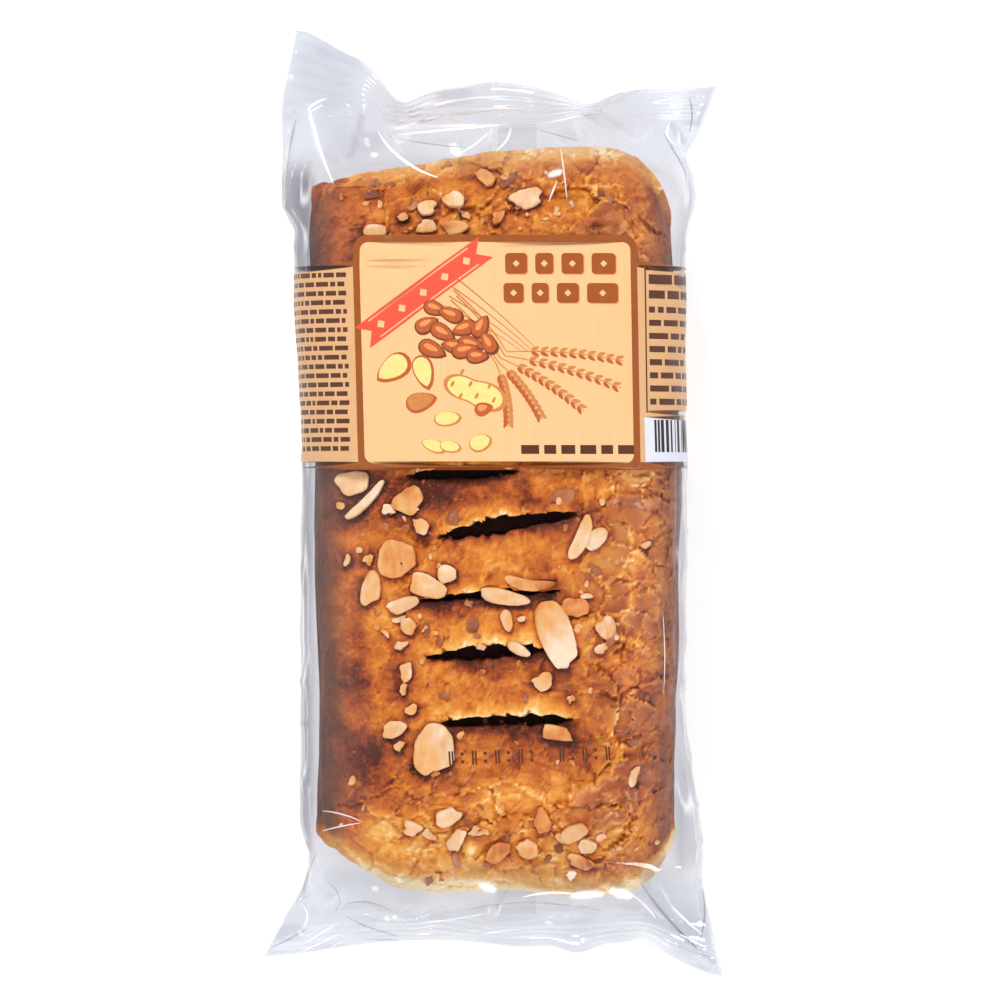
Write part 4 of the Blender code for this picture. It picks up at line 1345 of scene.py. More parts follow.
    # an open shell nut: two lobes with a waist
    a, b = px(455, 385), px(489, 398)
    for grow, ink in ((1.0, "wheat"), (0.86, "pale_nut")):
        lobes = []
        mid = (np.array(a) + np.array(b)) / 2.0
        turn = math.atan2(b[1] - a[1], b[0] - a[0])
        for k in range(32):
            t = 2 * math.pi * k / 32
            r = (4.3 + 1.5 * math.cos(2 * t) + 0.5 * math.cos(t)) * grow
            x, y = r * 1.25 * math.cos(t), r * 0.92 * math.sin(t)
            lobes.append((mid[0] + x * math.cos(turn) - y * math.sin(turn),
                          mid[1] + x * math.sin(turn) + y * math.cos(turn)))
        add(ink, lobes)
    for x, y in ((462, 372), (452, 384), (470, 384), (460, 396), (476, 396), (489, 386), (493, 400)):
        c = px(x, y)
        add("wheat", nut(c[0], c[1], 1.5, 0.7, 60, 0.1, 8))
    c = px(483, 409)
    add("almond", nut(c[0], c[1], 4.2, 2.9, 15))
    add("almond_light", nut(c[0] - 0.3, c[1] + 0.3, 2.2, 1.3, 15))
    return shapes, (-end, end_r)


def film_place(h, y):
    """Points and outward normals on the film for layout places (along the film, Y)."""
    h, y = np.asarray(h, float), np.asarray(y, float)
    rows = (FILM_ROWS["strip"] + FILM_ROWS["gather"]
            + np.interp(y, BODY_YS, np.arange(len(BODY_YS))))
    on_top = (h >= -RUN_LEFT) & (h <= RUN_RIGHT)
    u_top = np.clip((h + RUN_LEFT) / ref_run[-1] * 2.0 - 1.0, -1, 1)
    over = np.where(h > 0, h - RUN_RIGHT, -RUN_LEFT - h)
    u_low = np.where(h > 0, 1.0 - 2.0 * over / low_run, -1.0 + 2.0 * over / low_run)
    u = np.where(on_top, u_top, np.clip(u_low, -1, 1))
    cols = np.interp(u, film_u, np.arange(len(film_u)))

    def pick(grid):
        r0 = np.clip(np.floor(rows).astype(int), 0, grid.shape[0] - 2)
        c0 = np.clip(np.floor(cols).astype(int), 0, grid.shape[1] - 2)
        fr, fc = (rows - r0)[..., None], (cols - c0)[..., None]
        return ((grid[r0, c0] * (1 - fc) + grid[r0, c0 + 1] * fc) * (1 - fr)
                + (grid[r0 + 1, c0] * (1 - fc) + grid[r0 + 1, c0 + 1] * fc) * fr)

    point = np.where(on_top[..., None], pick(film_top), pick(film_low))
    normal = np.where(on_top[..., None], pick(top_normals), pick(low_normals))
    return point, normal / np.linalg.norm(normal, axis=-1, keepdims=True)


top_normals = grid_normals(film_top)
low_normals = -grid_normals(film_low)
for column in (0, -1):
    shared = top_normals[:, column] + low_normals[:, column]
    shared /= np.maximum(np.linalg.norm(shared, axis=-1, keepdims=True), 1e-9)
    top_normals[:, column], low_normals[:, column] = shared, shared


def draped_print(name, shapes, box_, pitch, inks, outer=0.16, inner=0.06, whole=True):
    """Shapes in paint order as one thin closed layer on the film."""
    coords, faces, paint = [], [], []
    for ink, outline in shapes:
        start = len(coords)
        coords += [Vector(v) for v in outline]
        faces.append(list(range(start, start + len(outline))))
        paint.append(ink)
    if pitch:
        h0, h1, y0, y1 = box_
        rows = np.arange(y0 + pitch / 2, y1, pitch)
        for i, yy in enumerate(rows):
            for hh in np.arange(h0 + pitch / 2 + (pitch / 2 if i % 2 else 0), h1, pitch):
                coords.append(Vector((hh, yy)))
    v, _, f, _, _, of = delaunay_2d_cdt(coords, [], faces, 1, 1e-5, True)
    v = np.array([tuple(c) for c in v])
    tris, ink_of = [], []
    for face, origins in zip(f, of):
        if not origins:
            continue
        face = list(face)
        area = signed_area(v[face])
        if abs(area) < 1e-9:
            continue
        tris.append(face if area > 0 else face[::-1])
        ink_of.append(paint[max(origins)])
    used = sorted({i for t in tris for i in t})
    remap = {old: new for new, old in enumerate(used)}
    tris = [[remap[i] for i in t] for t in tris]
    v = v[used]
    point, normal = film_place(v[:, 0], v[:, 1])
    # the ends of the band meet under the pack: left a hair apart
    verts = np.concatenate([point + normal * outer, point + normal * inner])
    n = len(v)
    all_faces = [tuple(t) for t in tris] + [(t[2] + n, t[1] + n, t[0] + n) for t in tris]
    mats = list(ink_of) + list(ink_of)
    edge_count = {}
    for t, ink in zip(tris, ink_of):
        for a, b in ((t[0], t[1]), (t[1], t[2]), (t[2], t[0])):
            if (b, a) in edge_count:
                del edge_count[(b, a)]
            else:
                edge_count[(a, b)] = ink
    for (a, b), ink in edge_count.items():
        all_faces.append((a, a + n, b + n, b))
        mats.append(ink)
    return build(name, verts, all_faces, inks, mats, sharp=40)


# =================================================================================
# almonds and crumbs
# =================================================================================
def slab(outline, thick, bow, tone, rng):
    """A thin slice with a crisp, worn edge: outline (k, 2) in mm; each point's tone and rim."""
    k = len(outline)
    centre = outline.mean(0)
    rel = outline - centre
    size = np.abs(rel).max(0)
    rings, rims = [], []
    for scale, z, r in ((0.35, 0.5, 0.0), (0.70, 0.5, 0.0), (0.90, 0.49, 0.05), (0.975, 0.40, 0.45),
                        (1.0, 0.18, 0.8), (0.995, -0.20, 1.0), (0.93, -0.46, 0.6), (0.6, -0.5, 0.1)):
        rings.append(np.column_stack([rel * scale, np.full(k, z * thick)]))
        rims.append(np.full(k, r))
    verts = np.concatenate([[[0.0, 0.0, thick * 0.5]]] + rings + [[[0.0, 0.0, -thick * 0.5]]])
    rim = np.concatenate([[0.0], *rims, [0.1]])
    seat = np.column_stack([verts[:, :2], np.full(len(verts), rng.uniform(0, 90))])
    verts[:, 2] += bow * ((verts[:, 0] / max(size[0], 0.1)) ** 2 - 0.4) \
        + 0.35 * bow * (verts[:, 1] / max(size[1], 0.1)) \
        + 0.16 * noise(seat, (2.6, 1.3, 9.0), 91) + 0.08 * noise(seat, (1.6, 0.5, 9.0), 92)
    angle = rng.uniform(0, 2 * math.pi)
    lean = (verts[:, 0] * math.cos(angle) / max(size[0], 0.1) + verts[:, 1] * math.sin(angle) / max(size[1], 0.1))
    tones = np.clip(tone + rng.uniform(0.04, 0.20) * lean + 0.14 * noise(seat, (3.0, 1.2, 9.0), 93), 0.0, 1.0)
    rim = np.clip(rim * (0.55 + 0.6 * noise(seat, 2.6, 94)), 0.0, 1.0)
    verts[:, :2] += centre
    faces = []
    nr = len(rings)
    for i in range(k):
        j = (i + 1) % k
        faces.append((0, 1 + i, 1 + j))
        for r in range(nr - 1):
            a, b = 1 + r * k, 1 + (r + 1) * k
            faces.append((a + i, b + i, b + j, a + j))
        faces.append((1 + (nr - 1) * k + j, 1 + (nr - 1) * k + i, len(verts) - 1))
    return verts, faces, tones, rim


def cut_off(shape, angle, limit, rough, rng):
    """Breaks an outline off beyond a line, leaving a slightly jagged straight edge."""
    nx, ny = math.cos(angle), math.sin(angle)
    far = shape[:, 0] * nx + shape[:, 1] * ny
    along = -shape[:, 0] * ny + shape[:, 1] * nx
    jag = limit + rough * noise(np.column_stack([along / 0.8, np.full(len(far), rng.uniform(0, 90)),
                                                 np.zeros(len(far))]), 1.0, 96)
    over = np.clip(far - jag, 0.0, None)
    return shape - over[:, None] * np.array([nx, ny]) * 0.97


def slice_outline(length, width, kind, rng, steps=44):
    """The outline of a slice of almond, whole or broken, worn a little at its corners."""
    t = np.linspace(0, 2 * math.pi, 96, endpoint=False)
    c, s = np.cos(t), np.sin(t)
    x = np.sign(c) * np.abs(c) ** 0.90 * length / 2.0
    taper = {"whole": 0.24, "torn": 0.14, "half": 0.20, "chip": rng.uniform(-0.35, 0.35), "sliver": 0.12}[kind]
    y = np.sign(s) * np.abs(s) ** 0.86 * width / 2.0 * (1.0 - taper * c)
    wob = rng.uniform(0, 100)
    around = np.column_stack([c * 1.9 + wob, s * 1.9, np.full(len(t), wob)])
    grow = 1.0 + {"whole": 0.04, "torn": 0.03, "half": 0.07, "chip": 0.22, "sliver": 0.10}[kind] * noise(around, 1.0, 95)
    shape = np.column_stack([x * grow, y * grow])
    way = rng.choice([-1, 1])
    if kind == "torn":
        shape = cut_off(shape, rng.uniform(-0.25, 0.25), 0.40 * length, 0.95, rng)
    elif kind == "half":
        end = rng.choice([0.0, math.pi])
        shape = cut_off(shape, end + way * rng.uniform(0.15, 0.60), rng.uniform(0.30, 0.40) * length, 0.45, rng)
        if rng.uniform() < 0.35:
            shape = cut_off(shape, end + math.pi - way * rng.uniform(0.4, 0.8), 0.36 * width + 0.10 * length, 0.3, rng)
    elif kind == "sliver":
        shape[:, 1] += way * 0.09 * length * (0.4 - (2.0 * shape[:, 0] / length) ** 2)
        shape = cut_off(shape, rng.choice([0.0, math.pi]) + rng.uniform(-0.7, 0.7), 0.44 * length, 0.3, rng)
    elif kind == "chip":
        a = rng.uniform(0, 2 * math.pi)
        for step in (rng.uniform(1.2, 2.6), rng.uniform(1.4, 2.4), rng.uniform(0.8, 1.6)):
            a += step
            reach = math.hypot(math.cos(a) * length / 2, math.sin(a) * width / 2)
            shape = cut_off(shape, a, reach * rng.uniform(0.48, 0.88), 0.30, rng)
    # even spacing, corners worn, and the fine unevenness of a broken edge
    ring = np.vstack([shape, shape[:1]])
    run = np.concatenate([[0.0], np.cumsum(np.hypot(*np.diff(ring, axis=0).T))])
    at = np.linspace(0.0, run[-1], steps, endpoint=False)
    shape = np.column_stack([np.interp(at, run, ring[:, k]) for k in (0, 1)])
    shape = 0.6 * shape + 0.2 * np.roll(shape, 1, axis=0) + 0.2 * np.roll(shape, -1, axis=0)
    rim = np.column_stack([shape * 1.0, np.full(steps, wob)])
    fine = 1.0 + (0.35 / max(length, 2.0)) * noise(rim, 0.9, 97)
    return shape * fine[:, None]


# centre x, y, length, width (layout units of the frame), turn, kind, thickness mm, tone
SLICES = [
    (352, 483, 43, 24, 12, "half", 1.1, 0.30), (365, 501, 62, 9, 44, "sliver", 1.0, 0.18),
    (409, 503, 36, 31, 70, "chip", 1.0, 0.66), (422, 528, 26, 15, -25, "chip", 1.0, 0.45),
    (397, 557, 44, 38, 80, "half", 1.0, 0.62), (371, 589, 38, 20, 78, "half", 1.0, 0.42),
    (426, 586, 44, 22, -20, "half", 1.3, 0.36), (447, 574, 19, 18, 0, "whole", 1.4, 0.25),
    (402, 605, 36, 15, 20, "half", 1.1, 0.30), (408, 626, 23, 17, 35, "chip", 1.2, 0.48),
    (407, 672, 20, 17, 70, "chip", 1.0, 0.35), (504, 597, 52, 15, -10, "half", 1.2, 0.36),
    (529, 583, 54, 12, -6, "sliver", 1.1, 0.62), (557, 637, 76, 34, -70, "torn", 1.2, 0.30),
    (581, 537, 50, 14, 68, "sliver", 1.1, 0.26), (596, 538, 27, 20, 42, "whole", 1.2, 0.20),
    (575, 606, 28, 25, 20, "chip", 1.1, 0.72), (606, 628, 32, 20, -60, "half", 1.0, 0.40),
    (519, 649, 27, 11, -30, "whole", 1.1, 0.20), (507, 621, 22, 11, -78, "whole", 1.1, 0.40),
    (541, 681, 28, 20, 25, "chip", 1.1, 0.48), (434, 750, 56, 40, 85, "half", 1.2, 0.36),
    (394, 729, 27, 16, 15, "half", 1.1, 0.36), (400, 744, 15, 11, 40, "chip", 1.0, 0.42),
    (412, 709, 16, 10, 20, "chip", 0.9, 0.40), (558, 733, 42, 15, -8, "half", 1.1, 0.66),
    (634, 777, 22, 9, 75, "sliver", 0.9, 0.30), (412, 829, 25, 15, -20, "half", 1.1, 0.36),
    (449, 817, 30, 19, 30, "half", 1.1, 0.30), (457, 840, 26, 22, 80, "chip", 1.2, 0.26),
    (541, 820, 27, 22, 70, "chip", 1.2, 0.70), (576, 833, 33, 17, 30, "half", 1.2, 0.46),
    (588, 847, 19, 17, 0, "whole", 1.3, 0.18), (583, 865, 36, 13, -25, "half", 1.1, 0.72),
    (496, 854, 31, 20, 25, "chip", 1.2, 0.76), (527, 851, 27, 22, -20, "chip", 1.2, 0.50),
    (428, 207, 20, 16, 20, "half", 1.1, 0.36), (454, 199, 23, 18, -35, "half", 1.2, 0.30),
    (427, 226, 25, 14, 5, "half", 1.0, 0.36), (527, 198, 42, 21, 22, "half", 1.3, 0.30),
    (485, 176, 26, 20, -10, "chip", 1.1, 0.66), (453, 228, 30, 15, 8, "half", 1.0, 0.56),
    (376, 231, 26, 14, 0, "half", 1.0, 0.42), (499, 216, 20, 13, 65, "chip", 1.0, 0.74),
    (370, 560, 13, 11, 40, "chip", 0.8, 0.50), (389, 510, 16, 10, -10, "chip", 0.9, 0.06),
    (347, 560, 12, 5, 75, "sliver", 0.7, 0.35), (340, 505, 10, 8, 0, "chip", 0.8, 0.50),
    (399, 619, 16, 5, 20, "sliver", 0.7, 0.20), (401, 645, 17, 10, 10, "chip", 0.8, 0.35),
    (386, 634, 11, 4, -50, "sliver", 0.6, 0.45), (481, 647, 16, 9, -20, "chip", 0.8, 0.30),
    (600, 648, 15, 10, 20, "chip", 0.9, 0.22), (587, 596, 13, 5, 0, "sliver", 0.7, 0.15),
    (646, 545, 13, 7, 15, "chip", 0.8, 0.40), (521, 619, 11, 6, 10, "chip", 0.7, 0.35),
    (404, 690, 14, 9, 60, "chip", 0.8, 0.45), (570, 700, 12, 7, 30, "chip", 0.8, 0.55),
    (430, 836, 18, 10, -35, "chip", 0.9, 0.30), (474, 832, 14, 10, 15, "chip", 0.8, 0.40),
    (560, 838, 16, 10, -60, "chip", 0.9, 0.50), (602, 838, 14, 9, 20, "chip", 0.8, 0.35),
    (404, 216, 14, 9, 20, "chip", 0.8, 0.45), (466, 214, 13, 8, -30, "chip", 0.8, 0.40),
    # under the printed band, as on the part that shows
    (430, 420, 40, 22, 30, "half", 1.2, 0.36), (520, 395, 48, 26, 100, "whole", 1.2, 0.40),
    (470, 340, 36, 18, -20, "half", 1.1, 0.50), (560, 330, 30, 16, 60, "half", 1.1, 0.34),
    (410, 300, 34, 20, 10, "half", 1.1, 0.30), (590, 420, 28, 18, 140, "chip", 1.1, 0.44),
]
# brown bits: skin and dark crumbs of nut (centre, size)
SKINS = [(372, 191, 15), (389, 184, 10), (445, 164, 11), (509, 176, 20), (600, 194, 13), (453, 518, 12),
         (473, 626, 13), (468, 603, 9), (427, 629, 11), (445, 694, 12), (524, 696, 10), (456, 862, 14),
         (471, 826, 12), (429, 883, 10), (632, 743, 12), (412, 205, 9), (536, 190, 10), (611, 198, 10),
         (440, 640, 8), (478, 636, 8), (615, 705, 8), (560, 850, 10), (486, 868, 10),
         (507, 836, 10), (548, 862, 10), (402, 560, 7), (386, 528, 8), (392, 510, 12)]


# thin brown flakes of skin and peeled crust: centre, length, width, turn
FLAKES = [(563, 496, 34, 15, 28), (594, 573, 22, 15, 60), (473, 622, 20, 9, 70), (427, 628, 16, 7, -70),
          (580, 862, 28, 14, -15), (497, 856, 22, 16, 20), (538, 820, 20, 14, 40), (373, 186, 20, 13, 60),
          (512, 178, 18, 12, 60), (612, 640, 20, 10, 60), (455, 516, 12, 10, 10), (640, 600, 22, 12, 75)]


def lie(verts, x, y, turn, tree, lift, tilt=(0.0, 0.0)):
    """Turns a piece flat at (x, y) and lays it on the crust below."""
    a = math.radians(turn)
    spin = np.array([[math.cos(a), -math.sin(a)], [math.sin(a), math.cos(a)]])
    out = verts.copy()
    out[:, :2] = verts[:, :2] @ spin.T
    size = max(0.6, float(np.abs(out[:, :2]).max()) * 0.75)
    spots = [(x + dx * size, y + dy * size) for dx in (-1, -0.5, 0, 0.5, 1) for dy in (-1, -0.5, 0, 0.5, 1)
             if dx * dx + dy * dy <= 1.3]
    hits = []
    for sx, sy in spots:
        z = drop(tree, sx, sy, 60.0, -1.0)
        if z is not None and z > WAIST:
            hits.append((sx, sy, z))
    if len(hits) < 3:
        return None
    hits = np.array(hits)
    level = np.percentile(hits[:, 2], 70)
    hits = hits[hits[:, 2] > level - 1.8]
    if len(hits) < 3:
        return None
    fit = np.column_stack([hits[:, 0] - x, hits[:, 1] - y, np.ones(len(hits))])
    slope = np.linalg.lstsq(fit, hits[:, 2], rcond=None)[0]
    sx, sy = np.clip(slope[0], -0.7, 0.7) + tilt[0], np.clip(slope[1], -0.7, 0.7) + tilt[1]
    nrm = np.array([-sx, -sy, 1.0])
    nrm /= np.linalg.norm(nrm)
    ex = np.array([1.0, 0.0, sx])
    ex /= np.linalg.norm(ex)
    ey = np.cross(nrm, ex)
    base = out[:, :1] * ex + out[:, 1:2] * ey + out[:, 2:3] * nrm
    return base + np.array([x, y, slope[2] + lift])


def under_film(verts, clear=0.25):
    """Lowers a piece just enough to clear the film over it."""
    over = 0.0
    for v in verts[::3]:
        roof = drop(film_tree, v[0], v[1], 20.0, 1.0)
        if roof is not None:
            over = max(over, v[2] + clear - roof)
    verts[:, 2] -= min(over, 3.0)
    return verts


def crumb_shape(rng, size, flat):
    """A small broken lump: a rough eight-sided bead, squashed."""
    rows = []
    k = 7
    for lat in (-0.72, 0.0, 0.72):
        r = math.sqrt(1 - lat * lat)
        for i in range(k):
            a = 2 * math.pi * (i + 0.5 * (lat == 0.0)) / k
            rows.append((r * math.cos(a), r * math.sin(a), lat))
    pts = np.array([(0, 0, -1.0), *rows, (0, 0, 1.0)])
    pts = pts * rng.uniform(0.72, 1.22, (len(pts), 1))
    pts = pts * np.array([size / 2, size / 2 * rng.uniform(0.45, 0.9), size / 2 * flat])
    faces = []
    for i in range(k):
        j = (i + 1) % k
        faces.append((0, 1 + j, 1 + i))
        for row in (0, 1):
            a, b = 1 + row * k, 1 + (row + 1) * k
            faces.append((a + i, a + j, b + j, b + i))
        faces.append((1 + 2 * k + i, 1 + 2 * k + j, 1 + 3 * k))
    return pts, faces


def gathered(parts):
    verts, faces, tone, rim, n = [], [], [], [], 0
    for v, f, t, r in parts:
        verts.append(v)
        faces += [tuple(i + n for i in face) for face in f]
        tone.append(t)
        rim.append(r)
        n += len(v)
    return np.concatenate(verts), faces, {"tone": np.concatenate(tone), "rim": np.concatenate(rim)}


# =================================================================================
# make the pieces
# =================================================================================
clear_film = film_material()
film = build("film", film_verts, film_polys, [clear_film], values=film_values(film_top, film_low, FILM_ROWS))
line_verts, line_faces, line_values = pinched_lines(film_tree)
creases = build("film_creases", line_verts, line_faces, [clear_film], values=line_values, sharp=35)

pastry_verts, pastry_faces, pastry_values = pastry_mesh()
crust_tree = BVHTree.FromPolygons(pastry_verts.tolist(), pastry_faces)

NUT_STOPS = [(0.0, srgb(240, 214, 184)), (0.3, srgb(228, 184, 138)), (0.55, srgb(226, 162, 92)),
             (0.8, srgb(208, 124, 58)), (1.0, srgb(156, 84, 42))]
almond_mat = nut_material("almond_flesh", NUT_STOPS, srgb(206, 128, 66))
skin_mat = nut_material("almond_skin", [(0.0, srgb(200, 134, 86)), (0.5, srgb(158, 88, 50)),
                                        (1.0, srgb(120, 62, 40))], srgb(132, 74, 48))

rng = np.random.default_rng(23)
parts, outlines = [], []
for x, y, long, wide, turn, kind, thick, tone in SLICES:
    mx, my = to_mm(x, y, 32.0)
    shape = slice_outline(long * 0.217, wide * 0.217, kind, rng)
    bow = rng.uniform(-0.35, 0.75) * min(1.0, long / 30.0)
    v, f, tones, rim = slab(shape, thick * 1.05, bow, tone, rng)
    if kind == "torn":
        tones = np.clip(tones - 0.34 * smooth(v[:, 0], -3.0, 6.0) + 0.22 * smooth(-v[:, 0], 0.0, 6.0), 0.0, 1.0)
    v = lie(v, mx, my, turn, crust_tree, thick * 0.42, rng.uniform(-0.14, 0.14, 2))
    v = under_film(v)
    parts.append((v, f, tones, rim))
    k = len(shape)
    outlines.append((v[1 + 4 * k:1 + 5 * k, :2], thick))
almond_v, almond_f, almond_a = gathered(parts)
almonds = build("almond_slices", almond_v, almond_f, [almond_mat], values=almond_a, sharp=50)
almond_tree = BVHTree.FromPolygons(almond_v.tolist(), almond_f)



def covered(x, y):
    """Whether a place lies under one of the slices."""
    spot = np.array([[x, y]])
    return any(inside_polygon(spot, outline)[0] for outline, _ in outlines
               if np.abs(outline.mean(0) - spot[0]).max() < 9.0)


bits = []
for k in range(150):
    zone = rng.uniform()
    if zone < 0.30:
        x, y = rng.normal(500, 75), rng.normal(838, 24)
    elif zone < 0.48:
        x, y = rng.normal(480, 70), rng.normal(200, 20)
    elif zone < 0.64:
        x, y = rng.normal(415, 25), rng.normal(600, 85)
    elif zone < 0.82:
        x, y = rng.normal(590, 22), rng.normal(600, 70)
    else:
        x, y = rng.uniform(350, 650), rng.uniform(480, 860)
    mx, my = to_mm(float(np.clip(x, 340, 658)), float(np.clip(y, 172, 874)), 32.0)
    long = rng.uniform(1.1, 2.6) * (1.5 if rng.uniform() < 0.15 else 1.0)
    if covered(mx, my):
        continue
    shape = slice_outline(long, long * rng.uniform(0.35, 0.85), "chip", rng, 16)
    v, f, tones, rim = slab(shape, rng.uniform(0.5, 0.95), rng.uniform(-0.1, 0.3), float(rng.uniform(0.25, 0.95)), rng)
    v = lie(v, mx, my, rng.uniform(0, 360), crust_tree, 0.10, rng.uniform(-0.35, 0.35, 2))
    if v is None:
        continue
    bits.append((under_film(v), f, tones, rim))
bits_v, bits_f, bits_a = gathered(bits)
almond_bits = build("almond_bits", bits_v, bits_f, [almond_mat], values=bits_a, sharp=50)

skins = []
for x, y, size in SKINS:
    mx, my = to_mm(x, y, 32.0)
    shape = slice_outline(size * 0.32, size * 0.32 * rng.uniform(0.4, 0.75), "chip", rng, 20)
    v, f, tones, rim = slab(shape, 0.45, rng.uniform(0.1, 0.6), float(rng.uniform(0.2, 0.8)), rng)
    v = lie(v, mx, my, rng.uniform(0, 360), crust_tree, 0.25, rng.uniform(-0.2, 0.2, 2))
    skins.append((under_film(v), f, tones, rim))
for x, y, long, wide, turn in FLAKES:
    mx, my = to_mm(x, y, 32.0)
    shape = slice_outline(long * 0.217, wide * 0.217, "chip", rng, 28)
    v, f, tones, rim = slab(shape, 0.40, rng.uniform(0.2, 0.7), float(rng.uniform(0.3, 0.6)), rng)
    v = lie(v, mx, my, turn, crust_tree, 0.22, rng.uniform(-0.10, 0.10, 2))
    skins.append((under_film(v), f, tones, rim))
for k in range(50):
    x, y = rng.uniform(340, 658), rng.uniform(170, 876)
    mx, my = to_mm(x, y, 32.0)
    if covered(mx, my):
        continue
    v, f = crumb_shape(rng, rng.uniform(0.5, 1.5), rng.uniform(0.25, 0.6))
    v = lie(v, mx, my, rng.uniform(0, 360), crust_tree, 0.05)
    if v is None:
        continue
    skins.append((under_film(v), f, np.full(len(v), float(rng.uniform(0.1, 0.9))), np.full(len(v), 0.2)))
skins_v, skins_f, skins_a = gathered(skins)
skin_bits = build("skin_flakes", skins_v, skins_f, [skin_mat], values=skins_a)

# painted shadow of the almond slices: the crust darker just round each slice, more so on its lower side
painted_slice_shadow = np.zeros(len(pastry_verts))
upper_crust = pastry_verts[:, 2] > 20.0
for outline, thick in outlines:
    shifted = outline + np.array([0.15, -0.55])
    low_corner, high_corner = shifted.min(0) - 2.5, shifted.max(0) + 2.5
    near = np.flatnonzero(upper_crust & (pastry_verts[:, :2] > low_corner).all(1)
                          & (pastry_verts[:, :2] < high_corner).all(1))
    if not len(near):
        continue
    spot = pastry_verts[near, :2]
    a, b = shifted, np.roll(shifted, -1, axis=0)
    away = np.full(len(near), 9.0)
    for (x0, y0), (x1, y1) in zip(a, b):
        dx, dy = x1 - x0, y1 - y0
        t = np.clip(((spot[:, 0] - x0) * dx + (spot[:, 1] - y0) * dy) / max(dx * dx + dy * dy, 1e-9), 0, 1)
        away = np.minimum(away, np.hypot(spot[:, 0] - x0 - t * dx, spot[:, 1] - y0 - t * dy))
    away[inside_polygon(spot, shifted)] = 0.0
    painted_slice_shadow[near] = np.maximum(painted_slice_shadow[near], np.exp(-away / 0.75))
    # the crust gives way under the slice
    for i in near[inside_polygon(spot, outline)]:
        under = drop(almond_tree, pastry_verts[i, 0], pastry_verts[i, 1], WAIST, 1.0)
        if under is not None and pastry_verts[i, 2] > under - 0.08:
            pastry_verts[i, 2] = under - 0.08
pastry_values["painted_slice_shadow"] = painted_slice_shadow
pastry = build("pastry", pastry_verts, pastry_faces, [pastry_material()], values=pastry_values, sharp=52)

ink_colours = {
    "cream": (srgb(230, 183, 135), srgb(225, 173, 118), 2.2, (3.0, 0.12, 1.0)),
    "border": (srgb(151, 82, 34), srgb(138, 71, 29), 3.0, (1, 1, 1)),
    "tan": (srgb(210, 165, 119), srgb(203, 155, 108), 3.0, (1, 1, 1)),
    "text": (srgb(92, 52, 34), srgb(74, 42, 30), 1.0, (1, 1, 1)),
    "white": (srgb(212, 213, 223), srgb(203, 205, 216), 3.0, (1, 1, 1)),
    "red": (srgb(244, 86, 62), srgb(236, 72, 52), 3.0, (1, 1, 1)),
    "almond": (srgb(190, 96, 50), srgb(160, 76, 38), 0.8, (1, 1, 1)),
    "almond_dark": (srgb(128, 62, 34), srgb(108, 50, 30), 0.8, (1, 1, 1)),
    "almond_light": (srgb(226, 146, 86), srgb(214, 128, 70), 0.6, (1, 1, 1)),
    "pale_nut": (srgb(250, 214, 140), srgb(240, 190, 104), 1.2, (1, 1, 1)),
    "wheat": (srgb(206, 138, 74), srgb(178, 106, 52), 0.7, (1, 1, 1)),
    "title": (srgb(160, 82, 34), srgb(146, 72, 29), 2.0, (1, 1, 1)),
    "bars": (srgb(52, 38, 34), srgb(40, 30, 28), 2.0, (1, 1, 1)),
}
inks = [print_material(name, *ink_colours[name]) for name in INKS]
shapes, ends = band_shapes()
band = draped_print("printed_band", shapes, (ends[0], ends[1], BAND_LOW, BAND_TOP), 1.25, inks, 0.20, 0.08)

# the row of small plain marks that a packing line stamps on the film: bars and dots
marks = []
x = 447.0
for k in range(15):
    if k in (8, 9):
        x += 9.0
        continue
    cx, cy = px(x, 758 - (x - 447) * 0.028)
    if k % 2 == 0:
        marks.append((0, box(cx - 0.20, cy - 1.5, cx + 0.20, cy + 1.5)))
        marks.append((0, box(cx + 0.45, cy - 1.5, cx + 0.85, cy + 1.5)))
    else:
        marks.append((0, nut(cx + 0.2, cy + 0.85, 0.75, 0.75, 0, 0.0, 12)))
        marks.append((0, nut(cx + 0.2, cy - 0.85, 0.75, 0.75, 0, 0.0, 12)))
    x += 11.5
stamp = draped_print("stamped_marks", marks, None, 0, [inks[INK["text"]]], 0.10, 0.04)

# the film's long joint: a narrow crimped fin folded flat under the pack
fin_x, fin_y = np.linspace(1.0, 9.5, 12), np.linspace(-90.0, 84.2, 349)
gx, gy = np.meshgrid(fin_x, fin_y)
gx = gx + 0.35 * np.sin(gy / 13.0)
roof = np.empty(gx.shape)
for i in range(gx.shape[0]):
    for j in range(gx.shape[1]):
        z = drop(film_tree, gx[i, j], gy[i, j], -5.0, 1.0)
        roof[i, j] = FILM_BASE if z is None else z
ribs = 0.035 * np.sin(gy * 2.0 * math.pi / 1.6) * smooth(gx, 1.6, 2.4)
fin_top, fin_low = roof - 0.24 + ribs, roof - 0.34 + ribs
fin_top, fin_low = np.maximum(fin_top, 0.13), np.maximum(fin_low, 0.03)
n, m = gx.shape
fin_verts = np.concatenate([np.stack([gx, gy, fin_top], -1).reshape(-1, 3),
                            np.stack([gx, gy, fin_low], -1).reshape(-1, 3)])
index = np.arange(n * m).reshape(n, m)
quads = np.stack([index[:-1, :-1], index[:-1, 1:], index[1:, 1:], index[1:, :-1]], -1).reshape(-1, 4)
fin_faces = [tuple(q) for q in quads.tolist()] + [tuple(v + n * m for v in q[::-1]) for q in quads.tolist()]
ring = np.concatenate([index[0, :-1], index[:-1, -1], index[-1, :0:-1], index[:0:-1, 0]]).tolist()
fin_faces += [(a, a + n * m, b + n * m, b) for a, b in zip(ring, ring[1:] + ring[:1])]
count = len(fin_verts)
fin = build("fin_seal", fin_verts, fin_faces, [clear_film],
            values={"white": np.full(count, 0.02), "grey": np.zeros(count), "loose": np.zeros(count)}, sharp=40)

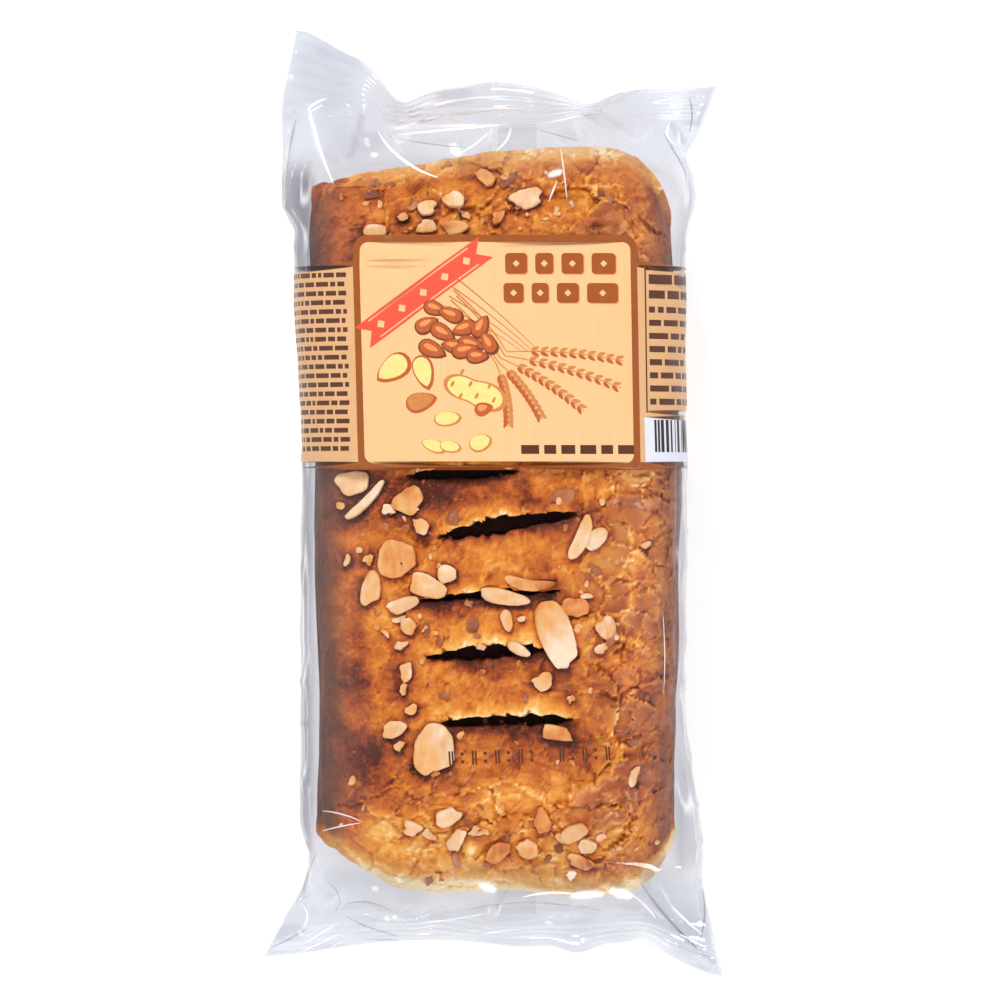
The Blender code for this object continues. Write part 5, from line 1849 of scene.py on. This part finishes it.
# =================================================================================
# the floor, the light and the camera
# =================================================================================
def floor_material():
    made, tree = material("floor")
    tone = grain(tree, place(tree), 90.0, 2.0)
    colour = mixed(tree, tone, (0.43, 0.43, 0.435), (0.41, 0.41, 0.415))
    shader = node(tree, "ShaderNodeBsdfPrincipled", {"Base Color": colour, "Roughness": 0.75})
    shader.inputs["Specular IOR Level"].default_value = 0.1
    # a pale surface lit from below as well, so that shadows stay light
    shader.inputs["Emission Color"].default_value = (1.0, 1.0, 1.0, 1.0)
    shader.inputs["Emission Strength"].default_value = 0.62
    finish_material(tree, shader.outputs[0])
    return made


size = 1500.0
floor = build("floor", [(-size, -size, 0), (size, -size, 0), (size, size, 0), (-size, size, 0)],
              [(0, 1, 2, 3)], [floor_material()])


def softbox(name, at, aim, size, power, colour=(1.0, 1.0, 1.0)):
    data = bpy.data.lights.new(name, "AREA")
    data.shape = "RECTANGLE"
    data.size, data.size_y = size
    data.energy = power
    data.color = colour
    made = bpy.data.objects.new(name, data)
    made.location = at
    made.rotation_euler = (Vector(aim) - Vector(at)).to_track_quat("-Z", "Y").to_euler()
    bpy.context.scene.collection.objects.link(made)
    return made


# most of the key light leaves no glints, so that those that show are soft
key = softbox("key", (-0.28, 0.72, 0.66), (0, 0, 0.01), (0.26, 0.18), 5.2)
key.visible_glossy = False
softbox("key_glints", (-0.28, 0.72, 0.66), (0, 0, 0.01), (0.26, 0.18), 2.0)
softbox("fill", (0.42, -0.66, 0.56), (0, 0, 0.01), (0.30, 0.30), 4.2)
above = softbox("above", (0.0, -0.10, 1.30), (0, 0, 0.01), (0.90, 0.90), 4.0)
above.visible_glossy = False

world = bpy.data.worlds.new("studio")
bpy.context.scene.world = world
world.use_nodes = True
tree = world.node_tree
tree.nodes.clear()
coords = node(tree, "ShaderNodeTexCoord")
split = node(tree, "ShaderNodeSeparateXYZ", {"Vector": coords.outputs["Generated"]})
shade = ramp(tree, split.outputs["Z"], [(0.0, (0.80, 0.80, 0.82)), (0.40, (0.95, 0.95, 0.97)),
                                        (0.78, (0.80, 0.80, 0.82)), (0.92, (0.08, 0.08, 0.09)),
                                        (1.0, (0.04, 0.04, 0.045))])
background = node(tree, "ShaderNodeBackground", {"Color": shade, "Strength": 0.85})
out = tree.nodes.new("ShaderNodeOutputWorld")
tree.links.new(background.outputs[0], out.inputs["Surface"])

camera_data = bpy.data.cameras.new("camera")
camera_data.sensor_width = 36.0
camera_data.lens = 180.0
camera_data.clip_start, camera_data.clip_end = 0.05, 20.0
camera = bpy.data.objects.new("camera", camera_data)
camera.location = (0.00143, 0.00121, 0.015 + 1.10)
bpy.context.scene.collection.objects.link(camera)
bpy.context.scene.camera = camera
bpy.context.scene.view_settings.view_transform = "Standard"
bpy.context.scene.view_settings.look = "None"

# =================================================================================
# what each piece rides on and stands for
# =================================================================================
for piece in (film, creases, fin, pastry, almonds, almond_bits, skin_bits, band, stamp):
    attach(piece, "root")
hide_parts("pack")

bpy.context.view_layer.update()
